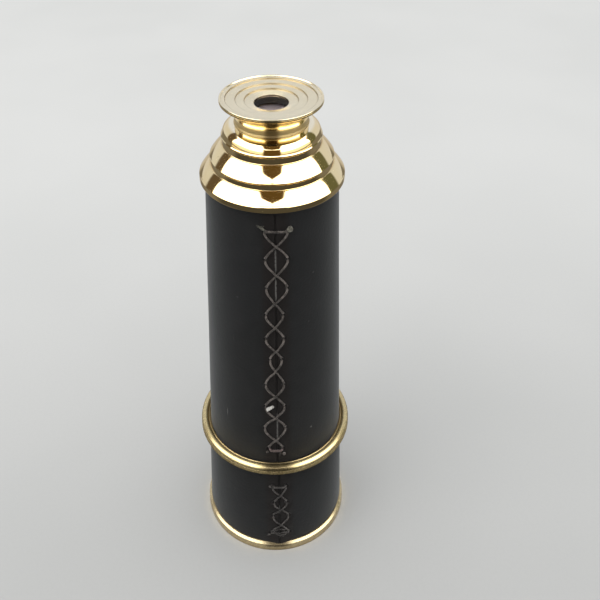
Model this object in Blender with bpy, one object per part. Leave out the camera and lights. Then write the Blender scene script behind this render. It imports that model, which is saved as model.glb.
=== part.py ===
"""Hand-held kaleidoscope: a leather-wrapped brass barrel with three mirrors, a stepped brass cap with a
dished eyepiece, and a turning object drum of loose glass pieces held on the barrel by a journal and a bush.

Metres, +Z up. The origin is the centre of the base plane, and +Z is the barrel's axis, from the drum's
frosted window at the bottom to the eye hole at the top. -Y is the side with the laced leather seams.
"""

import math
from types import SimpleNamespace

import bmesh
import bpy
from mathutils import Matrix, Vector

MM = 0.001

# Driving dimensions, in millimetres; every Z is a height above the base plane
SEGMENTS = 48  # facets round every turned piece
SMOOTH_DEG = 32  # edges sharper than this stay sharp on smooth pieces
HEIGHT = 151.9  # base plane to the eyepiece's rim
FIT = 0.1  # usual clearance between neighbouring pieces
TUBE_WALL = 0.8
LEATHER_T = 1.3
SEAM_GAP = 0.4

# barrel tube and its leather
BARREL_LEATHER_R = 22.7
TUBE_OUT_R = BARREL_LEATHER_R - LEATHER_T - FIT
TUBE_IN_R = TUBE_OUT_R - TUBE_WALL
TUBE_LOW_Z, TUBE_TOP_Z = 32.6, 126.5
BARREL_SEAM_DEG = 1.9  # from -Y towards +X
# lace holes from the top down: height, then arc length from the seam
# to the hole on its -X side and to the hole on its +X side
BARREL_HOLES = (
    (116.6, -3.55, 4.05), (106.6, -3.35, 4.0), (96.5, -3.15, 3.75), (87.1, -3.4, 2.3),
    (78.5, -3.5, 2.45), (71.0, -2.15, 1.7), (61.7, -3.7, 2.3), (53.7, -3.85, 2.5),
    (45.7, -4.2, 2.75), (38.1, -3.0, 1.8),
)

# stepped cap: rim radius and height of each dome, from the top one down
CAP_TOP_Z = 143.2
DOME1_R, DOME1_Z = 17.1, 139.0
DOME2_R, DOME2_Z = 21.0, 131.9
DOME3_R, DOME3_Z = 24.55, 125.8
DOME_STEPS = 4
CAP_SKIRT_Z = 123.9
CAP_SPIGOT_Z = 122.5

# eyepiece
EYE_RIM_R = 17.66
EYE_HOLE_R = 5.83
EYE_WAIST_R, EYE_WAIST_Z = 12.3, 144.8
EYE_FOOT_R = 12.8
EYE_SPIGOT_R, EYE_SPIGOT_Z = 10.5, 136.0
EYE_SHOULDER_Z = CAP_TOP_Z + 0.05
LENS_POCKET_R, LENS_POCKET_Z = 8.6, 146.6
LENS_R = LENS_POCKET_R - 0.15
LENS_LOW_Z = 144.6

# mirrors and their masks
MIRROR_IN = 8.0  # from the axis to each reflecting face
MIRROR_W, MIRROR_T, MIRROR_LENGTH = 27.0, 2.0, 100.0
MIRROR_LOW_Z = 21.3
MIRROR_TOP_Z = MIRROR_LOW_Z + MIRROR_LENGTH
MASK_T = 0.8

# drum tube and its leather
DRUM_LEATHER_R = 23.0
DRUM_TUBE_OUT_R = DRUM_LEATHER_R - LEATHER_T - FIT
DRUM_TUBE_IN_R = DRUM_TUBE_OUT_R - TUBE_WALL
DRUM_INSERT_R = DRUM_TUBE_IN_R - FIT  # outside of the rings fitted in the drum tube
BASE_RING_R, BASE_RING_H = 23.7, 1.55
DRUM_TUBE_LOW_Z, DRUM_TUBE_TOP_Z = BASE_RING_H + FIT, 32.3
DRUM_LEATHER_TOP_Z = 30.9
DRUM_SEAM_DEG = 2.9  # from -Y towards +X
# lace holes, with the columns of BARREL_HOLES
DRUM_HOLES = ((23.85, -2.3, 2.4), (17.6, -1.75, 2.5), (12.55, -2.2, 3.05), (5.95, -2.9, 3.2))
COLLAR_R = 25.8
COLLAR_LOW_Z, COLLAR_LIP_Z = DRUM_LEATHER_TOP_Z + FIT, 33.2

# the bearing between barrel and drum
HUB_BORE_R = 18.2
JOURNAL_R = 19.65
BUSH_BORE_R = JOURNAL_R + FIT
HUB_SHOULDER_R = TUBE_IN_R - FIT
BUSH_LOW_Z, BUSH_TOP_Z = 23.0, 31.1
HUB_LOW_Z, HUB_TOP_Z = BUSH_LOW_Z - FIT, 50.0

# the cell: loose pieces between two windows
CELL_R = DRUM_TUBE_IN_R - 0.2
CELL_BORE_R = 19.2
WINDOW_T = 1.8
FROSTED_LOW_Z = 3.6
CELL_LOW_Z = FROSTED_LOW_Z + WINDOW_T + FIT  # foot of the spacer and of the loose pieces
CELL_WINDOW_LOW_Z = 15.6
CELL_WINDOW_TOP_Z = CELL_WINDOW_LOW_Z + WINDOW_T

# lacing
LACE_W, LACE_T = 1.15, 0.55
LACE_GAP = 0.12  # leather to the underside of the cord
EYELET_R, EYELET_SIDES = 0.78, 6
# offsets of each layer's underside and top from those of the plain cord
UNDER_LAYER = (0.0, 0.0)
OVER_LAYER = (0.07, 0.1)
EYELET_LAYER = (-0.03, 0.04)
LOW_TIE_LAYER = (0.03, 0.16)
TOP_TIE_LAYER = (0.02, 0.13)

# loose pieces: ring, ring radius, then kind, size, colour, angle round the ring
# and the piece's own turn, both angles in degrees
BEAD_RINGS = (
    ("outer", 15.75, (
        ("round", 3.0, "ruby", 8.0, 0.0),
        ("chip", 3.1, "cobalt", 66.0, 20.0),
        ("bugle", 3.0, "amber", 124.0, 35.0),
        ("cut", 3.0, "emerald", 184.0, 10.0),
        ("block", 2.9, "violet", 243.0, 15.0),
        ("round", 2.6, "aqua", 300.0, 0.0),
    )),
    ("middle", 9.0, (
        ("cut", 2.9, "rose", 30.0, 0.0),
        ("bugle", 2.9, "cobalt", 104.0, 75.0),
        ("chip", 3.0, "emerald", 172.0, 50.0),
        ("round", 2.6, "amber", 246.0, 0.0),
        ("block", 2.6, "crystal", 318.0, 30.0),
    )),
    ("inner", 2.75, (
        ("round", 2.4, "violet", 60.0, 0.0),
        ("chip", 2.5, "ruby", 240.0, 0.0),
    )),
)

# base colour of each glass for the loose pieces
GLASS_SHADES = {
    "ruby": (0.62, 0.02, 0.05),
    "cobalt": (0.03, 0.09, 0.62),
    "emerald": (0.02, 0.42, 0.14),
    "amber": (0.85, 0.42, 0.03),
    "violet": (0.30, 0.06, 0.50),
    "aqua": (0.06, 0.52, 0.60),
    "rose": (0.80, 0.22, 0.36),
    "crystal": (0.88, 0.90, 0.92),
}


# ---- materials ----
def material(name, colour, roughness, metallic=0.0, transmission=0.0):
    mat = bpy.data.materials.new(name)
    mat.use_nodes = True
    inputs = mat.node_tree.nodes["Principled BSDF"].inputs
    inputs["Base Color"].default_value = (*colour, 1.0)
    inputs["Roughness"].default_value = roughness
    inputs["Metallic"].default_value = metallic
    inputs["Transmission Weight"].default_value = transmission
    mat.diffuse_color = (*colour, 1.0)
    return mat


def make_materials():
    return SimpleNamespace(
        brass=material("polished_brass", (0.86, 0.66, 0.33), roughness=0.12, metallic=1.0),
        satin_brass=material("satin_brass", (0.80, 0.68, 0.45), roughness=0.28, metallic=1.0),
        tube_brass=material("tube_brass", (0.62, 0.46, 0.24), roughness=0.4, metallic=1.0),
        bronze=material("bearing_bronze", (0.45, 0.30, 0.14), roughness=0.35, metallic=1.0),
        silver=material("mirror_silver", (0.88, 0.89, 0.90), roughness=0.03, metallic=1.0),
        black=material("blackened_metal", (0.02, 0.02, 0.02), roughness=0.7, metallic=0.3),
        leather=material("black_leather", (0.022, 0.022, 0.025), roughness=0.5),
        cord=material("taupe_cord", (0.30, 0.27, 0.24), roughness=0.75),
        foam=material("black_foam", (0.03, 0.03, 0.03), roughness=0.9),
        glass=material("clear_glass", (0.90, 0.93, 0.93), roughness=0.03, transmission=1.0),
        frosted=material("frosted_glass", (0.90, 0.92, 0.92), roughness=0.55, transmission=0.9),
        shades={
            shade: material(f"{shade}_glass", colour, roughness=0.04, transmission=0.95)
            for shade, colour in GLASS_SHADES.items()
        },
    )


# ---- objects and modifiers ----
def pivot(name, parent=None):
    empty = bpy.data.objects.new(name, None)
    empty.empty_display_type = "SINGLE_ARROW"
    empty.empty_display_size = 0.03
    bpy.context.scene.collection.objects.link(empty)
    empty.parent = parent
    return empty


def place(name, bm, mat, axis, z=0.0, smooth=True):
    """Turns bm, in millimetres about its own datum, into an object at height z on an axis empty."""
    bmesh.ops.recalc_face_normals(bm, faces=bm.faces)
    if bm.calc_volume(signed=True) < 0:
        bmesh.ops.reverse_faces(bm, faces=bm.faces)
    bmesh.ops.scale(bm, vec=(MM, MM, MM), verts=bm.verts)
    mesh = bpy.data.meshes.new(name)
    bm.to_mesh(mesh)
    bm.free()
    mesh.materials.append(mat)
    if smooth:
        mesh.shade_smooth()
        mesh.set_sharp_from_angle(angle=math.radians(SMOOTH_DEG))
    obj = bpy.data.objects.new(name, mesh)
    bpy.context.scene.collection.objects.link(obj)
    obj.parent = axis
    obj.location = (0.0, 0.0, z * MM)
    return obj


def add_boolean(obj, name, operation, helper):
    """Combines obj with a helper, which is hidden from renders."""
    helper.hide_render = True
    helper.display_type = "WIRE"
    modifier = obj.modifiers.new(name, "BOOLEAN")
    modifier.operation = operation
    modifier.solver = "EXACT"
    modifier.object = helper
    return modifier


# ---- profiles and shapes ----
def curve(start, bend, end, steps):
    """Points along a quadratic curve in the (radius, height) plane."""
    points = []
    for i in range(steps + 1):
        t = i / steps
        points.append(
            tuple(
                (1 - t) ** 2 * a + 2 * t * (1 - t) * b + t * t * c
                for a, b, c in zip(start, bend, end)
            )
        )
    return points


def arc(centre, radius, first, last, steps):
    """Points on a circle in the (radius, height) plane, degrees from the outward direction."""
    angles = [math.radians(first + (last - first) * i / steps) for i in range(steps + 1)]
    return [
        (centre[0] + radius * math.cos(angle), centre[1] + radius * math.sin(angle))
        for angle in angles
    ]


def spin(bm, verts, edges, angle, merge):
    bmesh.ops.spin(
        bm, geom=verts + edges, cent=(0, 0, 0), axis=(0, 0, 1),
        angle=angle, steps=SEGMENTS, use_merge=merge,
    )


def turned(name, profile, mat, axis, z=0.0, closed=True):
    """A piece turned from a (radius, height) profile, its origin at height z.

    A closed profile makes a ring; an open one must start and end on the axis.
    """
    bm = bmesh.new()
    verts = [bm.verts.new((r, 0.0, h - z)) for r, h in profile]
    edges = [bm.edges.new(pair) for pair in zip(verts[:-1], verts[1:])]
    if closed:
        edges.append(bm.edges.new((verts[-1], verts[0])))
    spin(bm, verts, edges, 2 * math.pi, merge=True)
    bmesh.ops.remove_doubles(bm, verts=bm.verts, dist=1e-5)
    return place(name, bm, mat, axis, z)


def rectangle(inner, outer, low, top):
    return [(inner, low), (outer, low), (outer, top), (inner, top)]


def plain_ring(name, inner, outer, low, top, mat, axis):
    return turned(name, rectangle(inner, outer, low, top), mat, axis, low)


def cone(sides, low_radius, top_radius, depth, matrix=Matrix.Identity(4)):
    bm = bmesh.new()
    bmesh.ops.create_cone(
        bm, cap_ends=True, segments=sides,
        radius1=low_radius, radius2=top_radius, depth=depth, matrix=matrix,
    )
    return bm


def prism(sides, radius, low, top, turn=0.0):
    rotation = Matrix.Rotation(math.radians(turn), 4, "Z")
    lift = Matrix.Translation((0, 0, (low + top) / 2))
    return cone(sides, radius, radius, top - low, rotation @ lift)


def disc(name, radius, low, thickness, mat, axis):
    return place(name, prism(SEGMENTS, radius, 0.0, thickness), mat, axis, low)


def masked(name, radius, low, mat, axis, opening):
    """A disc with an opening cut through it."""
    plate = disc(name, radius, low, MASK_T, mat, axis)
    cutter = place(f"{name}_opening", opening, mat, axis, low, smooth=False)
    add_boolean(plate, "opening", "DIFFERENCE", cutter)


# ---- leather and lacing ----
def wrapped(name, outer, low, top, seam_deg, mat, axis):
    """A leather sleeve: a sheet rolled round a tube, its ends a narrow gap apart at the seam."""
    gap = SEAM_GAP / outer
    start = math.radians(seam_deg - 90.0) + gap / 2
    bm = bmesh.new()
    verts = [
        bm.verts.new((r * math.cos(start), r * math.sin(start), h - low))
        for r, h in rectangle(outer - LEATHER_T, outer, low, top)
    ]
    edges = [bm.edges.new((verts[i], verts[(i + 1) % 4])) for i in range(4)]
    spin(bm, verts, edges, 2 * math.pi - gap, merge=False)
    bmesh.ops.holes_fill(bm, edges=[e for e in bm.edges if e.is_boundary], sides=4)
    return place(name, bm, mat, axis, low)


def layer_radii(surface, offsets):
    """Inner and outer radius of a layer of cord over leather of radius surface."""
    inner = surface + LACE_GAP
    return inner + offsets[0], inner + LACE_T + offsets[1]


def seam_vert(bm, seam_deg, radii, radius, along, height):
    """A vertex at an arc length from the seam, measured at the layer's inner radius."""
    angle = math.radians(seam_deg) + along / radii[0]
    return bm.verts.new((radius * math.sin(angle), -radius * math.cos(angle), height))


def bar(bm, seam_deg, start, end, radii, width=LACE_W, steps=2):
    """A flat bar laid on a cylinder from start to end, each (arc length from the seam, height)."""
    inner, outer = radii
    run = Vector((end[0] - start[0], end[1] - start[1]))
    side = Vector((-run.y, run.x)).normalized() * (width / 2)
    rings = []
    for i in range(steps + 1):
        middle = Vector(start) + run * (i / steps)
        ring = []
        for radius, way in ((inner, 1), (inner, -1), (outer, -1), (outer, 1)):
            along, height = middle + side * way
            ring.append(seam_vert(bm, seam_deg, radii, radius, along, height))
        rings.append(ring)
    for one, two in zip(rings[:-1], rings[1:]):
        for k in range(4):
            bm.faces.new((one[k], one[(k + 1) % 4], two[(k + 1) % 4], two[k]))
    bm.faces.new(rings[0])
    bm.faces.new(rings[-1][::-1])


def eyelet(bm, seam_deg, centre, radii):
    """The loop of cord over a punched hole: a short prism standing on the leather."""
    rings = []
    for radius in radii:
        ring = []
        for k in range(EYELET_SIDES):
            turn = 2 * math.pi * k / EYELET_SIDES
            along = centre[0] + EYELET_R * math.cos(turn)
            height = centre[1] + EYELET_R * math.sin(turn)
            ring.append(seam_vert(bm, seam_deg, radii, radius, along, height))
        rings.append(ring)
    low, top = rings
    for k in range(EYELET_SIDES):
        j = (k + 1) % EYELET_SIDES
        bm.faces.new((low[k], low[j], top[j], top[k]))
    bm.faces.new(low)
    bm.faces.new(top[::-1])


def lacing(name, holes, seam_deg, surface, mat, axis):
    """Cross-stitched cord over a seam, tied by a straight stitch at each end, as one body."""
    left = [(first, height) for height, first, _ in holes]
    right = [(last, height) for height, _, last in holes]
    under, over, loop, low_tie, top_tie = (
        layer_radii(surface, offsets)
        for offsets in (UNDER_LAYER, OVER_LAYER, EYELET_LAYER, LOW_TIE_LAYER, TOP_TIE_LAYER)
    )

    bm = bmesh.new()
    for i in range(len(holes) - 1):
        bar(bm, seam_deg, left[i], right[i + 1], under)
        bar(bm, seam_deg, right[i], left[i + 1], over)
    for centre in left + right:
        eyelet(bm, seam_deg, centre, loop)
    bar(bm, seam_deg, left[-1], right[-1], low_tie, width=LACE_W * 0.9)
    lace = place(name, bm, mat, axis, smooth=False)

    tie = bmesh.new()
    bar(tie, seam_deg, left[0], right[0], top_tie, width=LACE_W * 0.95, steps=3)
    top_stitch = place(f"{name}_top_stitch", tie, mat, axis, smooth=False)
    joined = add_boolean(lace, "joined", "UNION", top_stitch)
    joined.use_self = True  # the stitches in the lace overlap one another


# ---- the barrel ----
def stepped_cap(mat, axis):
    """Three domes outside, then the bore for the eyepiece and the hollow underside."""
    step1_r, step2_r = DOME1_R - 0.2, DOME2_R - 0.15  # feet of the walls below domes 1 and 2
    eye_bore = EYE_SPIGOT_R + FIT
    eye_bore_low = EYE_SPIGOT_Z + 0.2
    spigot_r = TUBE_IN_R - FIT
    tube_slot_r, tube_slot_top = TUBE_OUT_R + FIT, TUBE_TOP_Z + 0.2

    profile = [(DOME3_R - 0.1, CAP_SKIRT_Z), (DOME3_R, CAP_SKIRT_Z + 0.25)]
    profile += curve((DOME3_R, DOME3_Z), (23.0, 128.3), (step2_r, 129.9), DOME_STEPS)
    profile += [(step2_r, DOME2_Z - 0.45)]
    profile += curve((DOME2_R, DOME2_Z), (19.3, 134.7), (step1_r, 136.6), DOME_STEPS)
    profile += [(step1_r, DOME1_Z - 0.4)]
    profile += curve((DOME1_R, DOME1_Z), (16.2, 142.0), (EYE_FOOT_R, CAP_TOP_Z), DOME_STEPS)
    profile += [
        (eye_bore, CAP_TOP_Z), (eye_bore, eye_bore_low),
        # hollow underside, from the top down
        (12.2, eye_bore_low), (12.2, 140.9), (15.3, 138.6), (15.4, 135.3),
        (19.1, 130.6), (19.4, 128.0), (19.4, CAP_SPIGOT_Z),
        # spigot inside the tube, and the slot over the tube's end
        (spigot_r, CAP_SPIGOT_Z), (spigot_r, tube_slot_top),
        (tube_slot_r, tube_slot_top), (tube_slot_r, CAP_SKIRT_Z),
    ]
    turned("stepped_cap", profile, mat, axis, CAP_SKIRT_Z)


def eyepiece(mat, axis):
    waist = (EYE_WAIST_R, EYE_WAIST_Z)
    profile = [
        (LENS_POCKET_R, EYE_SPIGOT_Z), (EYE_SPIGOT_R, EYE_SPIGOT_Z),
        (EYE_SPIGOT_R, EYE_SHOULDER_Z), (EYE_FOOT_R, EYE_SHOULDER_Z),
    ]
    profile += curve((EYE_FOOT_R, 143.5), (EYE_WAIST_R, 143.8), waist, 3)
    profile += curve(waist, (EYE_WAIST_R, 148.7), (17.2, 150.65), 5)[1:]
    profile += [
        # rim, then the dish down to the hole
        (EYE_RIM_R, 150.9), (EYE_RIM_R, HEIGHT - 0.2), (EYE_RIM_R - 0.25, HEIGHT),
        (15.5, 151.7), (12.0, 151.35), (8.65, 150.75),
        (EYE_HOLE_R + 0.5, 149.95), (EYE_HOLE_R, 149.3),
        (EYE_HOLE_R, LENS_POCKET_Z), (LENS_POCKET_R, LENS_POCKET_Z),
    ]
    turned("eyepiece", profile, mat, axis, EYE_SHOULDER_Z)


def eye_lens(mat, axis):
    """Flat below, domed above."""
    profile = [
        (0.0, LENS_LOW_Z), (LENS_R, LENS_LOW_Z), (LENS_R, 145.5),
        (6.4, 146.0), (4.2, 146.3), (2.0, 146.45), (0.0, 146.5),
    ]
    turned("eye_lens", profile, mat, axis, LENS_LOW_Z, closed=False)


def eye_lens_ring(mat, axis):
    outer = LENS_POCKET_R - 0.05
    plain_ring("eye_lens_ring", 6.5, outer, 142.5, LENS_LOW_Z - FIT, mat, axis)


def mirror(name, turn, mat, axis):
    bm = bmesh.new()
    bmesh.ops.create_cube(
        bm,
        size=1.0,
        matrix=Matrix.Rotation(math.radians(turn), 4, "Z")
        @ Matrix.Translation((0, MIRROR_IN + MIRROR_T / 2, MIRROR_LENGTH / 2))
        @ Matrix.Diagonal((MIRROR_W, MIRROR_T, MIRROR_LENGTH, 1)),
    )
    place(name, bm, mat, axis, MIRROR_LOW_Z, smooth=False)


def packing(name, turn, mat, axis):
    """A foam segment between a mirror's back and the tube."""
    low, top = HUB_TOP_Z + 0.6, MIRROR_TOP_Z - 0.3
    chord = MIRROR_IN + MIRROR_T + 0.3  # from the axis to the flat face
    half_width = 16.5
    outer = TUBE_IN_R - 0.3
    steps = 10
    first = math.acos(half_width / outer)
    outline = [(half_width, chord)]
    for i in range(steps + 1):
        angle = first + (math.pi - 2 * first) * i / steps
        outline.append((outer * math.cos(angle), outer * math.sin(angle)))
    outline.append((-half_width, chord))

    bm = bmesh.new()
    bottom = bm.faces.new([bm.verts.new((x, y, 0.0)) for x, y in outline])
    made = bmesh.ops.extrude_face_region(bm, geom=[bottom])["geom"]
    raised = [v for v in made if isinstance(v, bmesh.types.BMVert)]
    bmesh.ops.translate(bm, vec=(0, 0, top - low), verts=raised)
    turn_about_z(bm, turn)
    place(name, bm, mat, axis, low, smooth=False)


def turn_about_z(bm, degrees):
    rotation = Matrix.Rotation(math.radians(degrees), 3, "Z")
    bmesh.ops.rotate(bm, cent=(0, 0, 0), matrix=rotation, verts=bm.verts)


def mirror_masks(mat, axis):
    """A round opening above the mirrors and a triangular one below them."""
    round_hole = prism(24, 7.0, -1.0, 2.0)
    masked("mirror_mask_eye", TUBE_IN_R - 0.2, MIRROR_TOP_Z + 0.2, mat, axis, round_hole)
    # a triangle's corners lie twice as far out as its sides
    triangle = prism(3, 2 * (MIRROR_IN - 0.2), -1.0, 2.0, turn=30.0)
    front_low = MIRROR_LOW_Z - FIT - MASK_T
    masked("mirror_mask_front", 19.4, front_low, mat, axis, triangle)


def bearing_hub(mat, axis):
    """The journal below, and a wider shoulder inside the barrel tube above."""
    shoulder_z = BUSH_TOP_Z + 0.2
    profile = [
        (HUB_BORE_R, HUB_LOW_Z), (JOURNAL_R, HUB_LOW_Z),
        (JOURNAL_R, shoulder_z), (HUB_SHOULDER_R, shoulder_z),
        (HUB_SHOULDER_R, HUB_TOP_Z), (HUB_BORE_R, HUB_TOP_Z),
    ]
    turned("bearing_hub", profile, mat, axis, HUB_LOW_Z)


def hub_retaining_ring(mat, axis):
    """A flange under the hub with a spigot up its bore."""
    bore, low, top = 17.0, 21.3, 26.0
    spigot_r, flange_top = HUB_BORE_R - FIT, HUB_LOW_Z - FIT
    profile = [
        (bore, low), (HUB_SHOULDER_R, low), (HUB_SHOULDER_R, flange_top),
        (spigot_r, flange_top), (spigot_r, top), (bore, top),
    ]
    turned("hub_retaining_ring", profile, mat, axis, low)


def build_barrel(mats, axis):
    plain_ring(
        "barrel_tube", TUBE_IN_R, TUBE_OUT_R, TUBE_LOW_Z, TUBE_TOP_Z, mats.tube_brass, axis
    )
    wrapped(
        "barrel_leather", BARREL_LEATHER_R, TUBE_LOW_Z, CAP_SKIRT_Z - FIT,
        BARREL_SEAM_DEG, mats.leather, axis,
    )
    lacing(
        "barrel_lacing", BARREL_HOLES, BARREL_SEAM_DEG, BARREL_LEATHER_R, mats.cord, axis
    )
    stepped_cap(mats.brass, axis)
    eyepiece(mats.satin_brass, axis)
    eye_lens(mats.glass, axis)
    eye_lens_ring(mats.black, axis)
    for i in range(3):
        mirror(f"mirror_{i + 1}", 120.0 * i, mats.silver, axis)
        packing(f"mirror_packing_{i + 1}", 120.0 * i, mats.foam, axis)
    mirror_masks(mats.black, axis)
    bearing_hub(mats.tube_brass, axis)
    hub_retaining_ring(mats.tube_brass, axis)


# ---- the drum ----
def collar_ring(mat, axis):
    """The rounded ring at the drum's top, reaching in towards the barrel's leather."""
    bore = DRUM_TUBE_OUT_R + 0.05
    lip_bore = BARREL_LEATHER_R + 0.3
    side_r = COLLAR_R - 0.1
    profile = [
        (bore, COLLAR_LOW_Z), (COLLAR_R - 0.35, COLLAR_LOW_Z),
        (side_r, COLLAR_LOW_Z + 0.25), (side_r, 32.0),
    ]
    profile += arc((24.42, 32.38), 1.38, 0.0, 150.0, 6)
    profile += [(lip_bore, COLLAR_LIP_Z), (lip_bore, DRUM_TUBE_TOP_Z), (bore, DRUM_TUBE_TOP_Z)]
    turned("collar_ring", profile, mat, axis, COLLAR_LOW_Z)


def base_ring(mat, axis):
    """The chamfered ring under the drum, with a spigot up into the drum tube."""
    chamfer = 0.3
    bore, spigot_bore = 18.2, 19.4
    spigot_top = FROSTED_LOW_Z - FIT
    profile = [
        (bore, 0.0), (BASE_RING_R - chamfer, 0.0), (BASE_RING_R, chamfer),
        (BASE_RING_R, BASE_RING_H - chamfer), (BASE_RING_R - chamfer, BASE_RING_H),
        (DRUM_INSERT_R, BASE_RING_H), (DRUM_INSERT_R, spigot_top),
        (spigot_bore, spigot_top), (spigot_bore, BASE_RING_H), (bore, BASE_RING_H - 0.4),
    ]
    turned("base_ring", profile, mat, axis)


def build_cell(mats, axis):
    """The two windows, the spacer between them and the ring that holds them down."""
    lock_low, lock_h = CELL_WINDOW_TOP_Z + FIT, 2.0
    plain_ring(
        "cell_lock_ring", 18.6, DRUM_INSERT_R, lock_low, lock_low + lock_h, mats.black, axis
    )
    disc("cell_window", CELL_R, CELL_WINDOW_LOW_Z, WINDOW_T, mats.glass, axis)
    plain_ring(
        "cell_spacer", CELL_BORE_R, CELL_R, CELL_LOW_Z, CELL_WINDOW_LOW_Z - FIT,
        mats.black, axis,
    )
    disc("frosted_window", CELL_R, FROSTED_LOW_Z, WINDOW_T, mats.frosted, axis)


def build_drum(mats, axis):
    plain_ring(
        "drum_tube", DRUM_TUBE_IN_R, DRUM_TUBE_OUT_R, DRUM_TUBE_LOW_Z, DRUM_TUBE_TOP_Z,
        mats.tube_brass, axis,
    )
    wrapped(
        "drum_leather", DRUM_LEATHER_R, DRUM_TUBE_LOW_Z, DRUM_LEATHER_TOP_Z,
        DRUM_SEAM_DEG, mats.leather, axis,
    )
    lacing("drum_lacing", DRUM_HOLES, DRUM_SEAM_DEG, DRUM_LEATHER_R, mats.cord, axis)
    collar_ring(mats.brass, axis)
    plain_ring(
        "drum_bush", BUSH_BORE_R, DRUM_INSERT_R, BUSH_LOW_Z, BUSH_TOP_Z, mats.bronze, axis
    )
    build_cell(mats, axis)
    base_ring(mats.brass, axis)


# ---- loose pieces in the cell; each shape's proportions are multiples of its size ----
def bevel(bm, edges, offset):
    bmesh.ops.bevel(bm, geom=edges, offset=offset, segments=1, affect="EDGES")


def round_bead(size):
    """A slightly flattened ball."""
    bm = bmesh.new()
    bmesh.ops.create_icosphere(bm, subdivisions=2, radius=size)
    bmesh.ops.scale(bm, vec=(1, 1, 0.86), verts=bm.verts)
    return bm


def bugle_bead(size):
    """A rod along X with bevelled ends."""
    radius = size * 0.42
    bm = cone(10, radius, radius, size * 2, Matrix.Rotation(math.pi / 2, 4, "Y"))
    end_edges = [e for e in bm.edges if abs(e.verts[0].co.x - e.verts[1].co.x) < 1e-6]
    bevel(bm, end_edges, size * 0.08)
    return bm


def chip_bead(size):
    """A bevelled, slightly tapered triangle."""
    bm = cone(3, size, size * 0.86, size * 0.8)
    bevel(bm, list(bm.edges), size * 0.13)
    return bm


def cut_bead(size):
    """An eight-sided gem: a tapered crown over a shorter, blunt keel."""
    crown_h, keel_h = size * 0.62, size * 0.5
    bm = cone(8, size, size * 0.55, crown_h, Matrix.Translation((0, 0, crown_h / 2)))
    girdle = [v for v in bm.verts if v.co.z < 1e-6]

    def girdle_faces():
        return [f for f in bm.faces if all(v in girdle for v in f.verts)]

    made = bmesh.ops.extrude_face_region(bm, geom=girdle_faces())["geom"]
    keel = [v for v in made if isinstance(v, bmesh.types.BMVert)]
    # no face may stay inside, across the girdle
    bmesh.ops.delete(bm, geom=girdle_faces(), context="FACES_ONLY")
    bmesh.ops.translate(bm, vec=(0, 0, -keel_h), verts=keel)
    bmesh.ops.scale(bm, vec=(0.5, 0.5, 1), verts=keel)
    return bm


def block_bead(size):
    """A bevelled oblong block."""
    bm = bmesh.new()
    bmesh.ops.create_cube(bm, size=size * 1.36)
    bmesh.ops.scale(bm, vec=(1.0, 0.85, 0.8), verts=bm.verts)
    bevel(bm, list(bm.edges), size * 0.16)
    return bm


# kind: shape, and whether it is shaded smooth
BEAD_KINDS = {
    "round": (round_bead, True),
    "bugle": (bugle_bead, True),
    "chip": (chip_bead, False),
    "cut": (cut_bead, False),
    "block": (block_bead, False),
}


def bead(name, kind, size, ring_radius, angle_deg, turn, mat, axis):
    """One glass piece just clear of the frosted window, its centre on its ring."""
    shape, smooth = BEAD_KINDS[kind]
    bm = shape(size)
    turn_about_z(bm, turn)
    rest = CELL_LOW_Z - min(v.co.z for v in bm.verts)
    obj = place(name, bm, mat, axis, rest, smooth)
    angle = math.radians(angle_deg)
    obj.location.x = ring_radius * math.cos(angle) * MM
    obj.location.y = ring_radius * math.sin(angle) * MM


def build_beads(mats, drum):
    for ring, ring_radius, pieces in BEAD_RINGS:
        axis = pivot(f"beads_{ring}_axis", drum)
        for i, (kind, size, shade, angle_deg, turn) in enumerate(pieces, start=1):
            name = f"bead_{ring}_{i}_{kind}"
            bead(name, kind, size, ring_radius, angle_deg, turn, mats.shades[shade], axis)


def main():
    for old in list(bpy.data.objects):
        bpy.data.objects.remove(old, do_unlink=True)
    mats = make_materials()
    barrel = pivot("barrel_axis")
    drum = pivot("drum_axis")
    build_barrel(mats, barrel)
    build_drum(mats, drum)
    build_beads(mats, drum)


main()
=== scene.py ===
import math
import random

import bmesh
import bpy
import numpy as np
from mathutils import Matrix, Vector


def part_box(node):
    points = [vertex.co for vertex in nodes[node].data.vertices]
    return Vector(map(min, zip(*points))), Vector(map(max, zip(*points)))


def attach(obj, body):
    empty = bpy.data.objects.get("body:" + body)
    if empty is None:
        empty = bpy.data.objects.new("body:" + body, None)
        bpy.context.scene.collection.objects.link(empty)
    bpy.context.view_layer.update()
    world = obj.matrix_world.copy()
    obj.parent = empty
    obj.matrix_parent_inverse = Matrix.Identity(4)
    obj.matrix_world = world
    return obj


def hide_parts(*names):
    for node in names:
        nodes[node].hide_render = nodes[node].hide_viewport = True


# Looks for the laced-leather kaleidoscope. Lengths in this file are millimetres until a mesh is made.
# Heights and radii come from the frame's own nodes; this script never moves them.

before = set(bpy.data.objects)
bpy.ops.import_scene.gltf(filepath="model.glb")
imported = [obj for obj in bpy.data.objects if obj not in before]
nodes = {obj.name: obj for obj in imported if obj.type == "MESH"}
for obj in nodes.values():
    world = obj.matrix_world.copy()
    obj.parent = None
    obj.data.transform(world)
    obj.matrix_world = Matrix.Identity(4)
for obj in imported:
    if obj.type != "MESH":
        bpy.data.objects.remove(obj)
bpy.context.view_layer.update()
MM = 0.001


def limits(node):
    """(largest radius, lowest height, highest height) of a CAD node in millimetres."""
    lo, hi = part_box(node)
    return max(hi.x, -lo.x) / MM, lo.z / MM, hi.z / MM


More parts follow.
